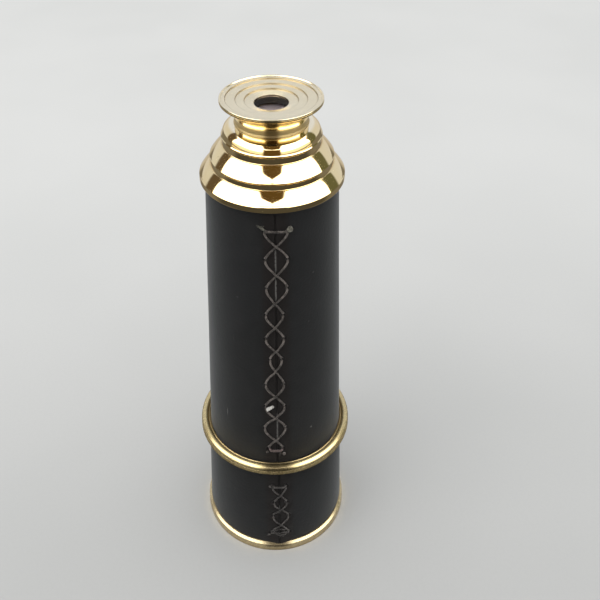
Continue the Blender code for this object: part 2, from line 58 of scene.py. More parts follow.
BARREL_R, BARREL_LOW, BARREL_TOP = limits("barrel_leather")
DRUM_R, DRUM_LOW, DRUM_TOP = limits("drum_leather")
COLLAR_R, COLLAR_LOW, COLLAR_TOP = limits("collar_ring")
BASE_R, BASE_LOW, BASE_TOP = limits("base_ring")
CAP_R, CAP_LOW, CAP_TOP = limits("stepped_cap")
EYE_R, EYE_LOW, EYE_TOP = limits("eyepiece")
LEATHER_T = 1.3
BARREL_SEAM, DRUM_SEAM = 1.9, 2.9  # degrees from -Y towards +X
# lace holes: height, arc length from the seam to the left hole and to the right one
BARREL_HOLES = (
    (116.6, -3.55, 4.05),
    (106.6, -3.35, 4.0),
    (96.5, -3.15, 3.75),
    (87.1, -3.4, 2.3),
    (78.5, -3.5, 2.45),
    (71.0, -2.15, 1.7),
    (61.7, -3.7, 2.3),
    (53.7, -3.85, 2.5),
    (45.7, -4.2, 2.75),
    (38.1, -3.0, 1.8),
)
DRUM_HOLES = (
    (23.85, -2.3, 2.4),
    (17.6, -1.75, 2.5),
    (12.55, -2.2, 3.05),
    (5.95, -2.9, 3.2),
)


# ---------------------------------------------------------------- node helpers


class Graph:
    """A short way to write a node tree: values and sockets mix freely as inputs."""

    def __init__(self, owner):
        owner.use_nodes = True
        self.tree = owner.node_tree
        self.tree.nodes.clear()

    def add(self, kind, inputs=None, **settings):
        node = self.tree.nodes.new(kind)
        for key, value in settings.items():
            setattr(node, key, value)
        for key, value in (inputs or {}).items():
            self.put(value, node.inputs[key])
        return node

    def put(self, value, socket):
        if isinstance(value, bpy.types.NodeSocket):
            self.tree.links.new(value, socket)
        elif isinstance(value, (tuple, list)) and len(value) == 3:
            wide = socket.type == "RGBA"
            socket.default_value = (*value, 1.0) if wide else value
        else:
            socket.default_value = value

    def math(self, operation, a, b=None, c=None, clamp=False):
        node = self.add("ShaderNodeMath", operation=operation, use_clamp=clamp)
        for i, value in enumerate((a, b, c)):
            if value is not None:
                self.put(value, node.inputs[i])
        return node.outputs[0]

    def plus(self, a, b):
        return self.math("ADD", a, b)

    def minus(self, a, b):
        return self.math("SUBTRACT", a, b)

    def times(self, a, b):
        return self.math("MULTIPLY", a, b)

    def smooth(self, value, low, high, first=0.0, last=1.0):
        """first below low, last above high, and a smooth step between."""
        node = self.add(
            "ShaderNodeMapRange",
            {1: low, 2: high, 3: first, 4: last},
            interpolation_type="SMOOTHSTEP",
        )
        self.put(value, node.inputs[0])
        return node.outputs[0]

    def line(self, value, low, high, first=0.0, last=1.0):
        node = self.add("ShaderNodeMapRange", {1: low, 2: high, 3: first, 4: last})
        self.put(value, node.inputs[0])
        return node.outputs[0]

    def vector(self, x, y, z):
        return self.add("ShaderNodeCombineXYZ", {0: x, 1: y, 2: z}).outputs[0]

    def mix(self, factor, a, b, blend="MIX"):
        node = self.add("ShaderNodeMix", data_type="RGBA", blend_type=blend)
        self.put(factor, node.inputs[0])
        self.put(a, node.inputs[6])
        self.put(b, node.inputs[7])
        return node.outputs[2]

    def noise(self, vector, scale, detail=2.0, rough=0.5, distort=0.0):
        return self.add(
            "ShaderNodeTexNoise",
            {
                "Vector": vector,
                "Scale": scale,
                "Detail": detail,
                "Roughness": rough,
                "Distortion": distort,
            },
        ).outputs["Fac"]

    def cells(self, vector, scale, feature="F1", randomness=1.0, output="Distance"):
        return self.add(
            "ShaderNodeTexVoronoi",
            {"Vector": vector, "Scale": scale, "Randomness": randomness},
            feature=feature,
        ).outputs[output]

    def bump(self, height, distance, strength=1.0, normal=None):
        inputs = {"Height": height, "Distance": distance, "Strength": strength}
        if normal is not None:
            inputs["Normal"] = normal
        return self.add("ShaderNodeBump", inputs).outputs[0]

    def place(self):
        """Object position and its cylindrical form: vector, radius, angle, arc from -Y in radians, height."""
        position = self.add("ShaderNodeTexCoord").outputs["Object"]
        parts = self.add("ShaderNodeSeparateXYZ", {0: position})
        x, y, z = parts.outputs
        radius = self.math(
            "SQRT", self.plus(self.times(x, x), self.times(y, y))
        )
        around = self.math("ARCTAN2", x, self.times(y, -1.0))
        return position, radius, around, z

    def finish(self, surface, volume=None):
        out = self.add("ShaderNodeOutputMaterial")
        self.put(surface, out.inputs["Surface"])
        if volume is not None:
            self.put(volume, out.inputs["Volume"])

    def principled(self, **inputs):
        names = {k.replace("_", " "): v for k, v in inputs.items()}
        node = self.add("ShaderNodeBsdfPrincipled")
        for key, value in names.items():
            self.put(value, node.inputs[key])
        return node.outputs[0]


def new_material(name):
    mat = bpy.data.materials.new(name)
    return mat, Graph(mat)


# ---------------------------------------------------------------- materials


def brass(name, colour, stain, rough, lathe_marks, crevice=0.7, wear=0.35, steps=(), metal=1.0, tone_and_dark_reflection=None, painted_light_zone=None):
    """Turned brass: tool marks run round the part, with faint wipe streaks and painted shade, a brown darkening, in the
    corners. It can add painted shade at turned steps, a painted dark reflection about one angle and a zone of painted
    shade and reflection.
    """
    mat, g = new_material(name)
    position, radius, around, z = g.place()
    rings = g.vector(
        g.times(around, 0.35), g.times(radius, 5200.0), g.times(z, 5200.0)
    )
    marks = g.noise(rings, 1.0, 3.0, 0.65)
    wiped = g.noise(
        g.vector(g.times(around, 5.0), g.times(radius, 260.0), g.times(z, 260.0)),
        1.0,
        3.0,
        0.6,
    )
    cloud = g.noise(position, 95.0, 4.0, 0.6, 0.4)
    specks = g.smooth(g.cells(position, 620.0), 0.05, 0.16, 1.0, 0.0)
    rare = g.smooth(g.noise(position, 210.0, 1.0), 0.60, 0.70)
    specks = g.times(specks, rare)
    tone = g.smooth(cloud, 0.35, 0.75)
    base = g.mix(g.times(tone, wear), colour, stain)
    # painted shade: corners found by an occlusion test are darkened towards brown and made rougher
    corner = g.add(
        "ShaderNodeAmbientOcclusion", {"Distance": 0.0016}, samples=6
    ).outputs["AO"]
    corner = g.times(g.smooth(corner, 0.35, 0.95, 1.0, 0.0), crevice)
    base = g.mix(corner, base, tuple(c * f for c, f in zip(stain, (0.45, 0.36, 0.22))))
    base = g.mix(g.times(specks, 0.5), base, tuple(c * 0.35 for c in stain))
    shade = g.math("ADD", 0.0, 0.0)
    for at in steps:
        # painted shade: a dark line in the corner of each turned step
        from_step = g.math("ABSOLUTE", g.minus(radius, at * MM))
        shade = g.math("MAXIMUM", shade, g.smooth(from_step, 0.00006, 0.00017, 0.62, 0.0))
    if steps:
        base = g.mix(shade, base, (0.115, 0.088, 0.050))
    if tone_and_dark_reflection:
        # painted reflection: about the given angle the colour is darkened, less so below the given height, standing in
        # for the dark front of the room seen in the metal
        centre, half, strength, low = tone_and_dark_reflection
        away = g.math("ABSOLUTE", g.minus(around, math.radians(centre)))
        dark_reflection_mask = g.smooth(away, math.radians(half * 0.5), math.radians(half * 1.5), strength, 0.0)
        dark_reflection_mask = g.times(dark_reflection_mask, g.smooth(z, (low - 0.25) * MM, (low + 0.25) * MM, 0.35, 1.0))
        base = g.mix(dark_reflection_mask, base, tuple(c * 0.10 for c in stain))
    painted_zone_mask = g.math("ADD", 0.0, 0.0)
    satin = 0.0
    if painted_light_zone:
        # painted light: in this zone the colour becomes a painted tone, dark shade at the foot of the neck and a cream
        # reflection on the crown of the first dome, darker at the front as a painted reflection; the metal can be
        # lowered there too
        low, high, reach, strength, tone, satin = painted_light_zone
        painted_zone_mask = g.times(
            g.smooth(z, (low - 0.25) * MM, (low + 0.25) * MM),
            g.smooth(z, (high - 0.7) * MM, (high + 0.7) * MM, 1.0, 0.0),
        )
        painted_zone_mask = g.times(painted_zone_mask, g.smooth(radius, (reach - 0.6) * MM, (reach + 0.6) * MM, strength, 0.0))
        front_dark_reflection = g.smooth(g.math("ABSOLUTE", around), math.radians(6.0), math.radians(17.0), 0.85, 0.0)
        tone = g.mix(front_dark_reflection, tone, tuple(c * f for c, f in zip(tone, (0.26, 0.20, 0.10))))
        base = g.mix(painted_zone_mask, base, tone)
    roughness = g.plus(
        g.plus(rough, g.times(g.smooth(wiped, 0.35, 0.8), 0.05)),
        g.plus(g.times(corner, 0.25), g.plus(g.times(specks, 0.2), g.times(shade, 0.3))),
    )
    normal = g.bump(marks, 0.000012, lathe_marks)
    normal = g.bump(cloud, 0.00012, 0.10, normal)
    surface = g.principled(
        Base_Color=base,
        Metallic=g.minus(metal, g.times(painted_zone_mask, satin)),
        Roughness=g.plus(roughness, g.times(painted_zone_mask, satin * 0.35)),
        Normal=normal,
    )
    g.finish(surface)
    return mat


def leather(name, seam_deg, radius_mm, scuffs, bare):
    """Black-dyed cowhide: a fine pebbled grain, dry matte finish, paler rubbed marks and the raw cut edge at the seam."""
    mat, g = new_material(name)
    position, radius, around, z = g.place()
    arc = g.times(g.minus(around, math.radians(seam_deg)), radius_mm * MM)
    off = g.math("ABSOLUTE", arc)
    sheet = g.vector(arc, radius, z)
    pebble = g.cells(position, 1500.0, "SMOOTH_F1")
    crease = g.cells(position, 820.0, "DISTANCE_TO_EDGE")
    pores = g.noise(position, 5200.0, 2.0, 0.6)
    cloud = g.noise(position, 62.0, 5.0, 0.62, 0.6)
    broad = g.noise(position, 21.0, 2.0, 0.5)
    tone_and_dark_reflection = g.smooth(cloud, 0.30, 0.74)
    base = g.mix(tone_and_dark_reflection, (0.0050, 0.0051, 0.0055), (0.0092, 0.0092, 0.0097))
    base = g.mix(g.times(g.smooth(broad, 0.35, 0.7), 0.45), base, (0.0055, 0.0062, 0.0080))
    # the strip under the lacing is darker and a little browner
    strip = g.smooth(off, 0.0030, 0.0056, 1.0, 0.0)
    base = g.mix(g.times(strip, 0.85), base, (0.0062, 0.0040, 0.0036))
    # dust caught in the grain
    dust = g.smooth(g.cells(position, 900.0), 0.07, 0.13, 1.0, 0.0)
    dust = g.times(dust, g.smooth(g.noise(position, 260.0, 1.0), 0.60, 0.72))
    base = g.mix(g.times(dust, 0.30), base, (0.060, 0.059, 0.057))
    for s, h, wide, tall, strength in scuffs:
        dx = g.math("DIVIDE", g.minus(arc, s * MM), wide * MM)
        wander = g.times(g.minus(g.noise(position, 900.0, 2.0), 0.5), 1.1)
        dx = g.plus(dx, wander)
        dz = g.math("DIVIDE", g.minus(z, h * MM), tall * MM)
        reach = g.math("SQRT", g.plus(g.times(dx, dx), g.times(dz, dz)))
        mark = g.smooth(reach, 0.45, 1.15, strength, 0.0)
        base = g.mix(mark, base, (0.17, 0.168, 0.16))
    # the split's raw edge shows where the two sides have drawn apart
    edge = g.smooth(off, 0.00016, 0.00034, 1.0, 0.0)
    shown = None
    for low, high in bare:
        span = g.times(
            g.smooth(z, (low - 0.8) * MM, (low + 0.6) * MM),
            g.smooth(z, (high - 0.6) * MM, (high + 0.8) * MM, 1.0, 0.0),
        )
        shown = span if shown is None else g.math("MAXIMUM", shown, span)
    # elsewhere the butted edges close up in a dark line
    closed = g.times(g.smooth(off, 0.00016, 0.00040, 0.62, 0.0), g.minus(1.0, shown))
    base = g.mix(closed, base, (0.0020, 0.0016, 0.0016))
    if shown is not None:
        fray = g.smooth(g.noise(sheet, 1500.0, 2.0), 0.30, 0.55)
        base = g.mix(
            g.times(g.times(edge, shown), g.times(fray, 0.85)),
            base,
            (0.165, 0.158, 0.150),
        )
    height = g.plus(
        g.times(g.smooth(crease, 0.0, 0.16), 0.55),
        g.plus(g.times(pebble, -0.35), g.times(pores, 0.25)),
    )
    normal = g.bump(height, 0.00006, 0.55)
    normal = g.bump(cloud, 0.0005, 0.18, normal)
    rough = g.plus(0.50, g.times(g.smooth(pores, 0.3, 0.7), 0.12))
    surface = g.principled(
        Base_Color=base,
        Roughness=rough,
        Specular_IOR_Level=g.times(g.minus(1.0, g.times(closed, 0.85)), 0.25),
        Sheen_Weight=g.times(g.minus(1.0, closed), 0.30),
        Sheen_Roughness=0.42,
        Sheen_Tint=(0.78, 0.82, 0.84),
        Normal=normal,
    )
    g.finish(surface)
    return mat


def cord_material(name, dark, light, seam_deg, radius_mm):
    """Waxed cotton cord: fibres run along each ply, with darker worn patches, painted shade where the plies meet and a
    darker tone near the seam.
    """
    mat, g = new_material(name)
    position, radius, around, z = g.place()
    along = g.add("ShaderNodeUVMap", uv_map="cord").outputs[0]
    parts = g.add("ShaderNodeSeparateXYZ", {0: along})
    u, v = parts.outputs[0], parts.outputs[1]
    fibres = g.noise(g.vector(g.times(u, 1.6), g.times(v, 26.0), 0.0), 1.0, 3.0, 0.6)
    worn = g.noise(position, 520.0, 3.0, 0.6)
    base = g.mix(g.smooth(fibres, 0.3, 0.72), dark, light)
    base = g.mix(
        g.times(g.smooth(worn, 0.44, 0.58), 0.82), base, tuple(c * 0.62 for c in dark)
    )
    # painted shade: where the plies meet and where the cord lies on the leather an occlusion test darkens the colour
    corner = g.add(
        "ShaderNodeAmbientOcclusion", {"Distance": 0.0005}, samples=6
    ).outputs["AO"]
    base = g.mix(
        g.smooth(corner, 0.35, 0.9, 0.75, 0.0), base, tuple(c * 0.22 for c in dark)
    )
    # the cord is darker near the seam and a little lighter towards the holes
    off = g.math(
        "ABSOLUTE", g.times(g.minus(around, math.radians(seam_deg)), radius_mm * MM)
    )
    rubbed = g.smooth(off, 0.0003, 0.0021, 0.66, 1.12)
    base = g.mix(1.0, base, g.vector(rubbed, rubbed, rubbed), "MULTIPLY")
    normal = g.bump(fibres, 0.00006, 0.7)
    surface = g.principled(
        Base_Color=base,
        Roughness=0.72,
        Specular_IOR_Level=0.28,
        Sheen_Weight=0.2,
        Sheen_Roughness=0.5,
        Normal=normal,
    )
    g.finish(surface)
    return mat


def clear_glass(name, tint=(0.965, 0.985, 0.975), rough=0.0, dusty=0.05):
    mat, g = new_material(name)
    position, radius, around, z = g.place()
    smear = g.noise(position, 240.0, 4.0, 0.6, 0.8)
    rough_out = g.plus(rough, g.times(g.smooth(smear, 0.5, 0.8), dusty))
    base = g.mix(g.smooth(smear, 0.4, 0.8), tint, tuple(c * 0.96 for c in tint))
    surface = g.principled(
        Base_Color=base,
        Roughness=rough_out,
        Transmission_Weight=1.0,
        IOR=1.5,
    )
    g.finish(surface)
    return mat


def glass_under_painted_reflection(name):
    """The eye lens: clear glass under a mauve-grey face, a painted reflection."""
    mat, g = new_material(name)
    position, radius, around, z = g.place()
    smear = g.noise(position, 260.0, 3.0, 0.6, 0.5)
    glass = g.principled(Base_Color=(0.96, 0.97, 0.97), Roughness=0.02, Transmission_Weight=1.0, IOR=1.5)
    # painted reflection: a mauve-grey matte face mixed over the glass
    tint = g.mix(g.smooth(smear, 0.3, 0.75), (0.68, 0.57, 0.61), (0.56, 0.50, 0.53))
    face = g.principled(Base_Color=tint, Metallic=0.25, Roughness=g.plus(0.30, g.times(smear, 0.2)))
    g.finish(g.add("ShaderNodeMixShader", {0: 0.36, 1: glass, 2: face}).outputs[0])
    return mat


def frosted_glass(name):
    """Ground glass: an even fine etch that scatters, with a few polished-down spots."""
    mat, g = new_material(name)
    position, radius, around, z = g.place()
    etch = g.noise(position, 5200.0, 3.0, 0.7)
    cloud = g.noise(position, 150.0, 3.0, 0.5)
    normal = g.bump(etch, 0.00008, 0.6)
    surface = g.principled(
        Base_Color=g.mix(g.smooth(cloud, 0.3, 0.7), (0.90, 0.92, 0.92), (0.82, 0.85, 0.85)),
        Roughness=g.plus(0.42, g.times(cloud, 0.25)),
        Transmission_Weight=0.82,
        IOR=1.5,
        Normal=normal,
    )
    g.finish(surface)
    return mat


def coloured_glass(name, colour, rough):
    """Pressed glass: colour deepens and pales with a faint ripple from the mould, with seeds."""
    mat, g = new_material(name)
    position, radius, around, z = g.place()
    ripple = g.noise(position, 340.0, 2.0, 0.5, 0.3)
    seeds = g.smooth(g.cells(position, 1500.0), 0.04, 0.12, 1.0, 0.0)
    deep = tuple(c**1.35 for c in colour)
    base = g.mix(g.smooth(ripple, 0.3, 0.7), colour, deep)
    base = g.mix(g.times(seeds, 0.25), base, (0.95, 0.95, 0.95))
    normal = g.bump(g.plus(ripple, g.times(seeds, 0.2)), 0.00025, 0.25)
    surface = g.principled(
        Base_Color=base,
        Roughness=g.plus(rough, g.times(seeds, 0.2)),
        Transmission_Weight=0.92,
        IOR=1.52,
        Coat_Weight=0.3,
        Coat_Roughness=0.03,
        Normal=normal,
    )
    g.finish(surface)
    return mat


def silvered(name):
    """Front-silvered mirror strip: near perfect, with patches of bloom and hairline wipe marks."""
    mat, g = new_material(name)
    position, radius, around, z = g.place()
    bloom = g.noise(position, 130.0, 4.0, 0.65, 0.5)
    wipes = g.noise(g.vector(g.times(radius, 900.0), g.times(around, 8.0), g.times(z, 60.0)), 1.0, 3.0)
    base = g.mix(g.smooth(bloom, 0.45, 0.8), (0.90, 0.91, 0.92), (0.76, 0.78, 0.78))
    surface = g.principled(
        Base_Color=base,
        Metallic=1.0,
        Roughness=g.plus(0.025, g.times(g.smooth(wipes, 0.5, 0.8), 0.05)),
    )
    g.finish(surface)
    return mat


def blackened(name):
    """Chemically blackened metal: soft brown-black, lighter in patches."""
    mat, g = new_material(name)
    position, radius, around, z = g.place()
    cloud = g.noise(position, 300.0, 4.0, 0.6)
    rings = g.noise(g.vector(around, g.times(radius, 4200.0), g.times(z, 4200.0)), 1.0, 2.0)
    base = g.mix(g.smooth(cloud, 0.3, 0.75), (0.012, 0.011, 0.010), (0.034, 0.029, 0.024))
    surface = g.principled(
        Base_Color=base,
        Metallic=0.35,
        Roughness=g.plus(0.5, g.times(cloud, 0.25)),
        Normal=g.bump(rings, 0.00002, 0.6),
    )
    g.finish(surface)
    return mat


def foam(name):
    mat, g = new_material(name)
    position, radius, around, z = g.place()
    pores = g.cells(position, 1900.0)
    big = g.noise(position, 500.0, 3.0)
    base = g.mix(g.smooth(pores, 0.1, 0.55), (0.010, 0.010, 0.011), (0.050, 0.050, 0.052))
    surface = g.principled(
        Base_Color=base,
        Roughness=0.92,
        Specular_IOR_Level=0.2,
        Normal=g.bump(g.plus(pores, g.times(big, 0.5)), 0.0004, 0.8),
    )
    g.finish(surface)
    return mat


# painted reflection: the crown of the first dome is cream at the sides and dark at the front
POLISHED = brass(
    "polished_brass", (0.88, 0.69, 0.37), (0.76, 0.52, 0.22), 0.055, 0.22, painted_light_zone=(141.9, 160.0, 14.4, 0.80, (0.97, 0.88, 0.66), 0.0)
)
# painted shade and reflection: the foot of the neck is darkened to olive and the neck is darkened at the front
NECK_BRASS = brass(
    "polished_brass_neck", (0.89, 0.70, 0.345), (0.77, 0.54, 0.22), 0.15, 0.3, tone_and_dark_reflection=(0.0, 9.0, 0.72, 0.0), painted_light_zone=(141.0, 145.7, 40.0, 0.90, (0.33, 0.25, 0.11), 0.66)
)
# painted reflection: the base ring and the collar are darkened about the seam, at the front
BASE_BRASS = brass(
    "polished_brass_base", (0.56, 0.46, 0.27), (0.46, 0.35, 0.18), 0.24, 0.6, metal=0.62, tone_and_dark_reflection=(DRUM_SEAM - 2.0, 10.0, 0.80, 1.25)
)
COLLAR_BRASS = brass(
    "polished_brass_collar", (0.60, 0.485, 0.25), (0.46, 0.33, 0.15), 0.25, 0.5, metal=0.72, tone_and_dark_reflection=(DRUM_SEAM - 1.0, 12.0, 0.80, 32.2)
)
SATIN = brass("satin_brass", (0.88, 0.765, 0.52), (0.79, 0.66, 0.42), 0.17, 0.7, 0.75, 0.3, (15.59, 12.18, 9.13))
TUBE = brass("tube_brass", (0.62, 0.46, 0.24), (0.42, 0.28, 0.13), 0.34, 1.0)
BUSH = brass("bearing_bronze", (0.55, 0.37, 0.19), (0.34, 0.20, 0.09), 0.28, 1.0)
BARREL_HIDE = leather(
    "black_leather_barrel",
    BARREL_SEAM,
    BARREL_R,
    (
        (-18.4, 46.8, 0.16, 1.6, 0.75),
        (12.0, 43.2, 0.42, 0.34, 0.55),
        (13.0, 99.7, 0.5, 0.3, 0.22),
        (-13.2, 91.6, 0.5, 0.35, 0.16),
        (11.2, 82.7, 0.35, 0.3, 0.16),
        (-15.0, 76.0, 0.14, 1.1, 0.12),
        (40.0, 66.0, 0.14, 2.2, 0.35),
        (-47.0, 92.0, 0.5, 0.4, 0.3),
        (61.0, 104.0, 0.12, 3.0, 0.3),
        (-62.0, 51.0, 0.3, 0.3, 0.35),
    ),
    ((102.6, 109.8), (92.6, 99.6), (41.6, 48.6), (49.0, 51.0)),
)
DRUM_HIDE = leather(
    "black_leather_drum",
    DRUM_SEAM,
    DRUM_R,
    (
        (20.0, 12.0, 0.5, 0.35, 0.14),
        (-16.0, 19.0, 0.4, 0.3, 0.12),
        (52.0, 17.0, 0.13, 1.8, 0.3),
        (-49.0, 9.0, 0.4, 0.3, 0.3),
    ),
    ((14.0, 16.0),),
)
CORD = cord_material("taupe_cord", (0.052, 0.043, 0.038), (0.200, 0.175, 0.158), BARREL_SEAM, BARREL_R)
CORD_DRUM = cord_material("taupe_cord_drum", (0.036, 0.032, 0.030), (0.132, 0.121, 0.114), DRUM_SEAM, DRUM_R)
CORD_ROSE = cord_material("taupe_cord_tie", (0.090, 0.062, 0.058), (0.215, 0.165, 0.156), BARREL_SEAM, BARREL_R)
CORD_PALE = cord_material("taupe_cord_end", (0.46, 0.45, 0.42), (0.86, 0.84, 0.80), BARREL_SEAM, BARREL_R)
CORD_KNOT = cord_material("taupe_cord_knot", (0.090, 0.086, 0.066), (0.225, 0.216, 0.178), BARREL_SEAM, BARREL_R)
CLEAR = clear_glass("clear_glass")
LENS = glass_under_painted_reflection("lens_painted_reflection")
FROST = frosted_glass("frosted_glass")
SILVER = silvered("mirror_silver")
BLACK = blackened("blackened_metal")
FOAM = foam("black_foam")
SHADES = {
    "ruby": (0.66, 0.02, 0.045),
    "cobalt": (0.035, 0.10, 0.68),
    "emerald": (0.025, 0.48, 0.16),
    "amber": (0.90, 0.46, 0.04),
    "violet": (0.34, 0.07, 0.56),
    "aqua": (0.07, 0.58, 0.66),
    "rose": (0.86, 0.26, 0.40),
    "crystal": (0.93, 0.95, 0.97),
}
GLASS = {name: coloured_glass(name + "_glass", c, 0.02) for name, c in SHADES.items()}


# ---------------------------------------------------------------- mesh helpers


def piece(name, verts, faces, mat, body, stands_for=(), sharp=38.0, weld=False):
    """A mesh in millimetres made into a piece that rides on a body."""
    mesh = bpy.data.meshes.new(name)
    mesh.from_pydata((np.asarray(verts, float) * MM).tolist(), [], faces)
    if weld:
        bm = bmesh.new()
        bm.from_mesh(mesh)
        bmesh.ops.remove_doubles(bm, verts=bm.verts, dist=1e-7)
        bmesh.ops.dissolve_degenerate(bm, edges=bm.edges, dist=1e-8)
        bm.to_mesh(mesh)
        bm.free()
    mesh.update()
    mesh.validate()
    mesh.materials.append(mat)
    mesh.shade_smooth()
    mesh.set_sharp_from_angle(angle=math.radians(sharp))
    obj = bpy.data.objects.new(name, mesh)
    bpy.context.scene.collection.objects.link(obj)
    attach(obj, body)
    if stands_for:
        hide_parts(*stands_for)
    return obj


def arc_points(centre, radius, first, last, steps):
    return [
        (
            centre[0] + radius * math.cos(math.radians(first + (last - first) * i / steps)),
            centre[1] + radius * math.sin(math.radians(first + (last - first) * i / steps)),
        )
        for i in range(steps + 1)
    ]


def bent(start, bend, end, steps):
    """Points along a quadratic curve."""
    out = []
    for i in range(steps + 1):
        t = i / steps
        out.append(
            tuple(
                (1 - t) ** 2 * a + 2 * t * (1 - t) * b + t * t * c
                for a, b, c in zip(start, bend, end)
            )
        )
    return out


def rounded(points, steps=5):
    """A closed outline whose corners given as (r, z, fillet) are rounded off."""
    out = []
    count = len(points)
    for i, p in enumerate(points):
        if len(p) < 3 or p[2] <= 0:
            out.append((p[0], p[1]))
            continue
        here = np.array(p[:2], float)
        a = np.array(points[i - 1][:2], float) - here
        b = np.array(points[(i + 1) % count][:2], float) - here
        la, lb = np.linalg.norm(a), np.linalg.norm(b)
        a, b = a / la, b / lb
        half = math.acos(max(-1.0, min(1.0, float(a @ b)))) / 2
        if half > math.radians(88) or half < math.radians(3):
            out.append((p[0], p[1]))
            continue
        reach = min(p[2] / math.tan(half), 0.47 * la, 0.47 * lb)
        radius = reach * math.tan(half)
        centre = here + (a + b) / np.linalg.norm(a + b) * radius / math.sin(half)
        one, two = here + a * reach - centre, here + b * reach - centre
        first = math.atan2(one[1], one[0])
        turn = math.atan2(one[0] * two[1] - one[1] * two[0], float(one @ two))
        for k in range(steps + 1):
            angle = first + turn * k / steps
            out.append(
                (
                    centre[0] + radius * math.cos(angle),
                    centre[1] + radius * math.sin(angle),
                )
            )
    return out


def turned(name, profile, mat, body, stands_for=(), segments=256, sharp=38.0):
    """A closed (radius, height) outline turned round +Z."""
    pts = np.array(profile, float)
    area = 0.5 * np.sum(
        pts[:, 0] * np.roll(pts[:, 1], -1) - np.roll(pts[:, 0], -1) * pts[:, 1]
    )
    if area < 0:
        pts = pts[::-1]
    count = len(pts)
    turn = 2 * math.pi * np.arange(segments) / segments
    verts = np.empty((segments, count, 3))
    verts[:, :, 0] = np.cos(turn)[:, None] * pts[None, :, 0]
    verts[:, :, 1] = np.sin(turn)[:, None] * pts[None, :, 0]
    verts[:, :, 2] = pts[None, :, 1]
    j, i = np.meshgrid(np.arange(segments), np.arange(count), indexing="ij")
    j2, i2 = (j + 1) % segments, (i + 1) % count
    faces = np.stack(
        [j * count + i, j2 * count + i, j2 * count + i2, j * count + i2], -1
    ).reshape(-1, 4)
    return piece(
        name,
        verts.reshape(-1, 3),
        faces.tolist(),
        mat,
        body,
        stands_for,
        sharp,
        weld=bool((pts[:, 0] < 1e-6).any()),
    )


# ---------------------------------------------------------------- turned brass

# eyepiece: a polished trumpet neck under a satin disc whose face is cut in shallow terraces
rim = EYE_R - 0.01
neck = [
    (8.6, EYE_LOW),
    (10.5, EYE_LOW, 0.15),
    (10.5, 143.22),
    (12.78, 143.22, 0.08),
    (12.66, 143.45, 0.10),
]
neck += bent((12.50, 143.56), (12.3, 143.7), (12.3, 144.1), 8)
neck += bent((12.3, 144.2), (12.34, 147.9), (17.15, 150.60), 34)[1:]
neck += [
    (17.48, 150.66, 0.12),
    (rim - 0.01, 150.86, 0.16),
    (rim - 0.01, 151.30, 0.04),
    (17.2, 151.30),
    (15.3, 151.0),
    (12.0, 150.45),
    (8.6, 149.95),
]
turned("eyepiece_neck", rounded(neck), NECK_BRASS, "barrel", (), 320)
face = [
    (17.60, 151.32),
    (rim - 0.02, 151.5, 0.1),
    (rim - 0.06, EYE_TOP - 0.03, 0.14),
    (17.40, EYE_TOP - 0.01, 0.1),
    (17.02, EYE_TOP - 0.03, 0.1),
    (16.90, 151.62, 0.04),
    (15.62, 151.58, 0.03),
    (15.55, 151.20, 0.04),
    (12.22, 151.12, 0.03),
    (12.15, 150.74, 0.04),
    (9.17, 150.67, 0.03),
    (9.10, 150.22, 0.04),
    (5.91, 149.74, 0.03),
    (5.88, 149.02, 0.03),
    (8.58, 149.02),
    (8.62, 149.92),
    (12.0, 150.42),
    (15.3, 150.97),
    (17.2, 151.27),
]
turned("eyepiece_disc", rounded(face), SATIN, "barrel", ("eyepiece",), 320)
bore = [
    (5.86, 149.00),
    (8.56, 149.00),
    (8.56, 146.62),
    (6.02, 146.62),
    (6.02, 147.75, 0.05),
    (5.86, 147.90, 0.05),
]
turned("eyepiece_bore", rounded(bore, 3), BLACK, "barrel", (), 200)

# stepped cap: three domes, each with a small rolled bead over a shadow gap
SKIRT = BARREL_TOP + 0.10
cap = [
    (21.42, SKIRT),
    (CAP_R - 0.14, SKIRT, 0.10),
    (CAP_R - 0.01, SKIRT + 0.30, 0.3),
    (CAP_R - 0.01, 125.78, 0.45),
    (24.28, 126.12, 0.12),
]
cap += bent((24.22, 126.22), (22.95, 128.14), (21.15, 129.52), 26)
cap += [
    (20.80, 129.62, 0.15),
    (20.74, 131.36, 0.2),
    (20.99, 131.50, 0.12),
    (21.0, 131.90, 0.24),
    (20.78, 132.18, 0.12),
]
cap += bent((20.72, 132.28), (19.28, 134.48), (17.25, 136.14), 26)
cap += [
    (16.86, 136.26, 0.15),
    (16.80, 138.42, 0.2),
    (17.10, 138.58, 0.12),
    (17.1, 139.02, 0.24),
    (16.92, 139.28, 0.12),
]
cap += bent((16.88, 139.36), (16.66, 140.30), (16.28, 141.10), 14)
cap += bent((16.28, 141.10), (15.15, 142.45), (13.10, 143.12), 26)[1:]
cap += [
    (12.6, CAP_TOP, 0.2),
    (10.6, CAP_TOP, 0.1),
    (10.6, 136.2),
    (12.2, 136.2),
    (12.2, 140.9),
    (15.3, 138.6),
    (15.4, 135.3),
    (19.1, 130.6),
    (19.4, 128.0),
    (19.4, CAP_LOW),
    (20.4, CAP_LOW),
    (20.4, 126.7),
    (21.4, 126.7),
]
turned("stepped_cap_domes", rounded(cap, 4), POLISHED, "barrel", ("stepped_cap",), 384)

# collar: an inner lip, a cut groove and a rolled bead above a fine knurl
lip_r = 23.0
top = COLLAR_TOP
collar = [
    (21.66, COLLAR_LOW + 0.02),
    (25.30, COLLAR_LOW + 0.02, 0.1),
    (25.52, COLLAR_LOW + 0.3, 0.1),
    (25.52, 32.02, 0.05),
    (25.60, 32.10, 0.05),
]
collar += arc_points((24.56, 32.52), 1.23, -18.0, 158.0, 22)
collar += [
    (23.46, 32.78, 0.07),
    (23.36, 33.10, 0.10),
    (23.22, 33.22, 0.08),
    (lip_r + 0.02, 33.16, 0.07),
    (lip_r + 0.02, 32.32),
    (21.66, 32.32),
]
turned("collar_ring_bead", rounded(collar, 4), COLLAR_BRASS, "drum", ("collar_ring",), 384)


